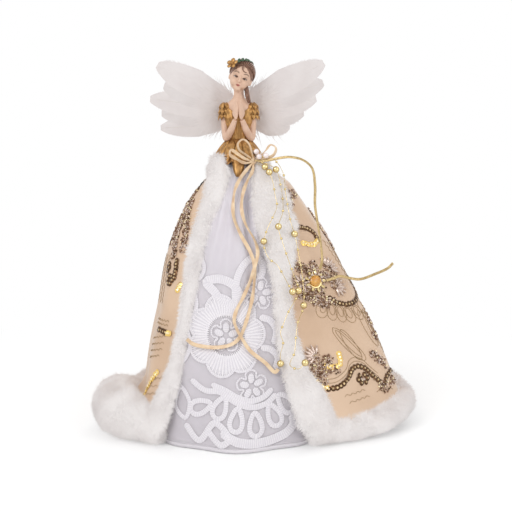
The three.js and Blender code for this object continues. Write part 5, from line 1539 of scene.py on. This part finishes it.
for degrees, z, spread in clusters:
    bead_cluster(trim_mesh, degrees, z, spread, draw_trim)
for degrees, z, lean_deg in FANS:
    crystal_fan(trim_mesh, degrees, z, lean_deg, *FAN_SHAPE)
for degrees, z in flowers:
    crystal_fan(trim_mesh, degrees, z, 0, *FLOWER_SHAPE)
for route in threads:
    line = [on_robe(degrees, z, THREAD_LIFT) for degrees, z in along_robe(route, THREAD_STEP)]
    band(sewn_mesh, line, THREAD_HALF, THREAD_HALF, lambda p: Vector((p.x, p.y, 0)), 5)
trim_finishes = [
    finish("bronze_sequin", BRONZE, (0.08, 0.04, 0.018), 0.002, 0.25, 0.0, {"Metallic": 0.8}),
    finish("bronze_middle", (0.60, 0.45, 0.25), (0.50, 0.36, 0.19), 0.002, 0.3, 0.0, {"Metallic": 0.6}),
    finish("gold_sequin", SEQUIN_GOLD, (0.80, 0.52, 0.14), 0.002, 0.2, 0.0, {"Metallic": 0.9}),
    finish("gold_middle", (0.95, 0.85, 0.60), (0.90, 0.76, 0.45), 0.002, 0.25, 0.0, {"Metallic": 0.6}),
    finish("brown_bead", BEAD_BROWN, (0.22, 0.12, 0.08), 0.002, 0.2, 0.0, {"Metallic": 0.4}),
    finish("cut_crystal", CRYSTAL, (0.40, 0.27, 0.21), 0.001, 0.08, 0.0, {"Metallic": 0.35}),
]
piece("robe_sequins", trim_mesh, trim_finishes, flat=True)
brown_thread = finish("brown_thread", THREAD_BROWN, (0.30, 0.20, 0.10), 0.001, 0.6, 0.2)
piece("robe_embroidery", sewn_mesh, brown_thread)

# Brooch: a cut amber stone in a gold cup with a ring of small crystals, sewn on over the robe's cluster.
AMBER = (0.86, 0.45, 0.07)
BROOCH_CRYSTALS = 12
BROOCH_FACING_DEG = 26.0
BROOCH_RING_R = 6.1
RING_CRYSTAL_R = 1.15
RING_SINK = 0.4
STONE_HALF = (4.9, 4.9, 2.2)

stone_low, stone_high = (Vector(corner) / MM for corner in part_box("brooch_stone"))
stone_middle = (stone_low + stone_high) / 2
stone_out = polar(math.radians(BROOCH_FACING_DEG), 1.0, 0.15).normalized()
stone_side = stone_out.cross(Vector((0, 0, 1))).normalized()
stone_mesh = bmesh.new()
stone_shape = facing_matrix(stone_middle, stone_out) @ Matrix.Diagonal((*STONE_HALF, 1.0))
bmesh.ops.create_icosphere(stone_mesh, subdivisions=2, radius=1.0, matrix=stone_shape)
amber = finish("cut_amber", AMBER, (0.70, 0.30, 0.03), 0.003, 0.06, 0.0,
               {"Coat Weight": 0.8, "Transmission Weight": 0.25})
piece("brooch_amber", stone_mesh, amber, ["brooch_stone"], flat=True)
ring_mesh = bmesh.new()
for i in range(BROOCH_CRYSTALS):
    turn = 2 * math.pi * i / BROOCH_CRYSTALS
    away = math.cos(turn) * stone_side + Vector((0, 0, math.sin(turn)))
    spot = stone_middle + BROOCH_RING_R * away - RING_SINK * stone_out
    bmesh.ops.create_icosphere(ring_mesh, subdivisions=1, radius=RING_CRYSTAL_R,
                               matrix=Matrix.Translation(spot))
piece("brooch_crystals", ring_mesh, trim_finishes[CUT_CRYSTAL], flat=True)
dress_node("brooch_setting", bead_gold)
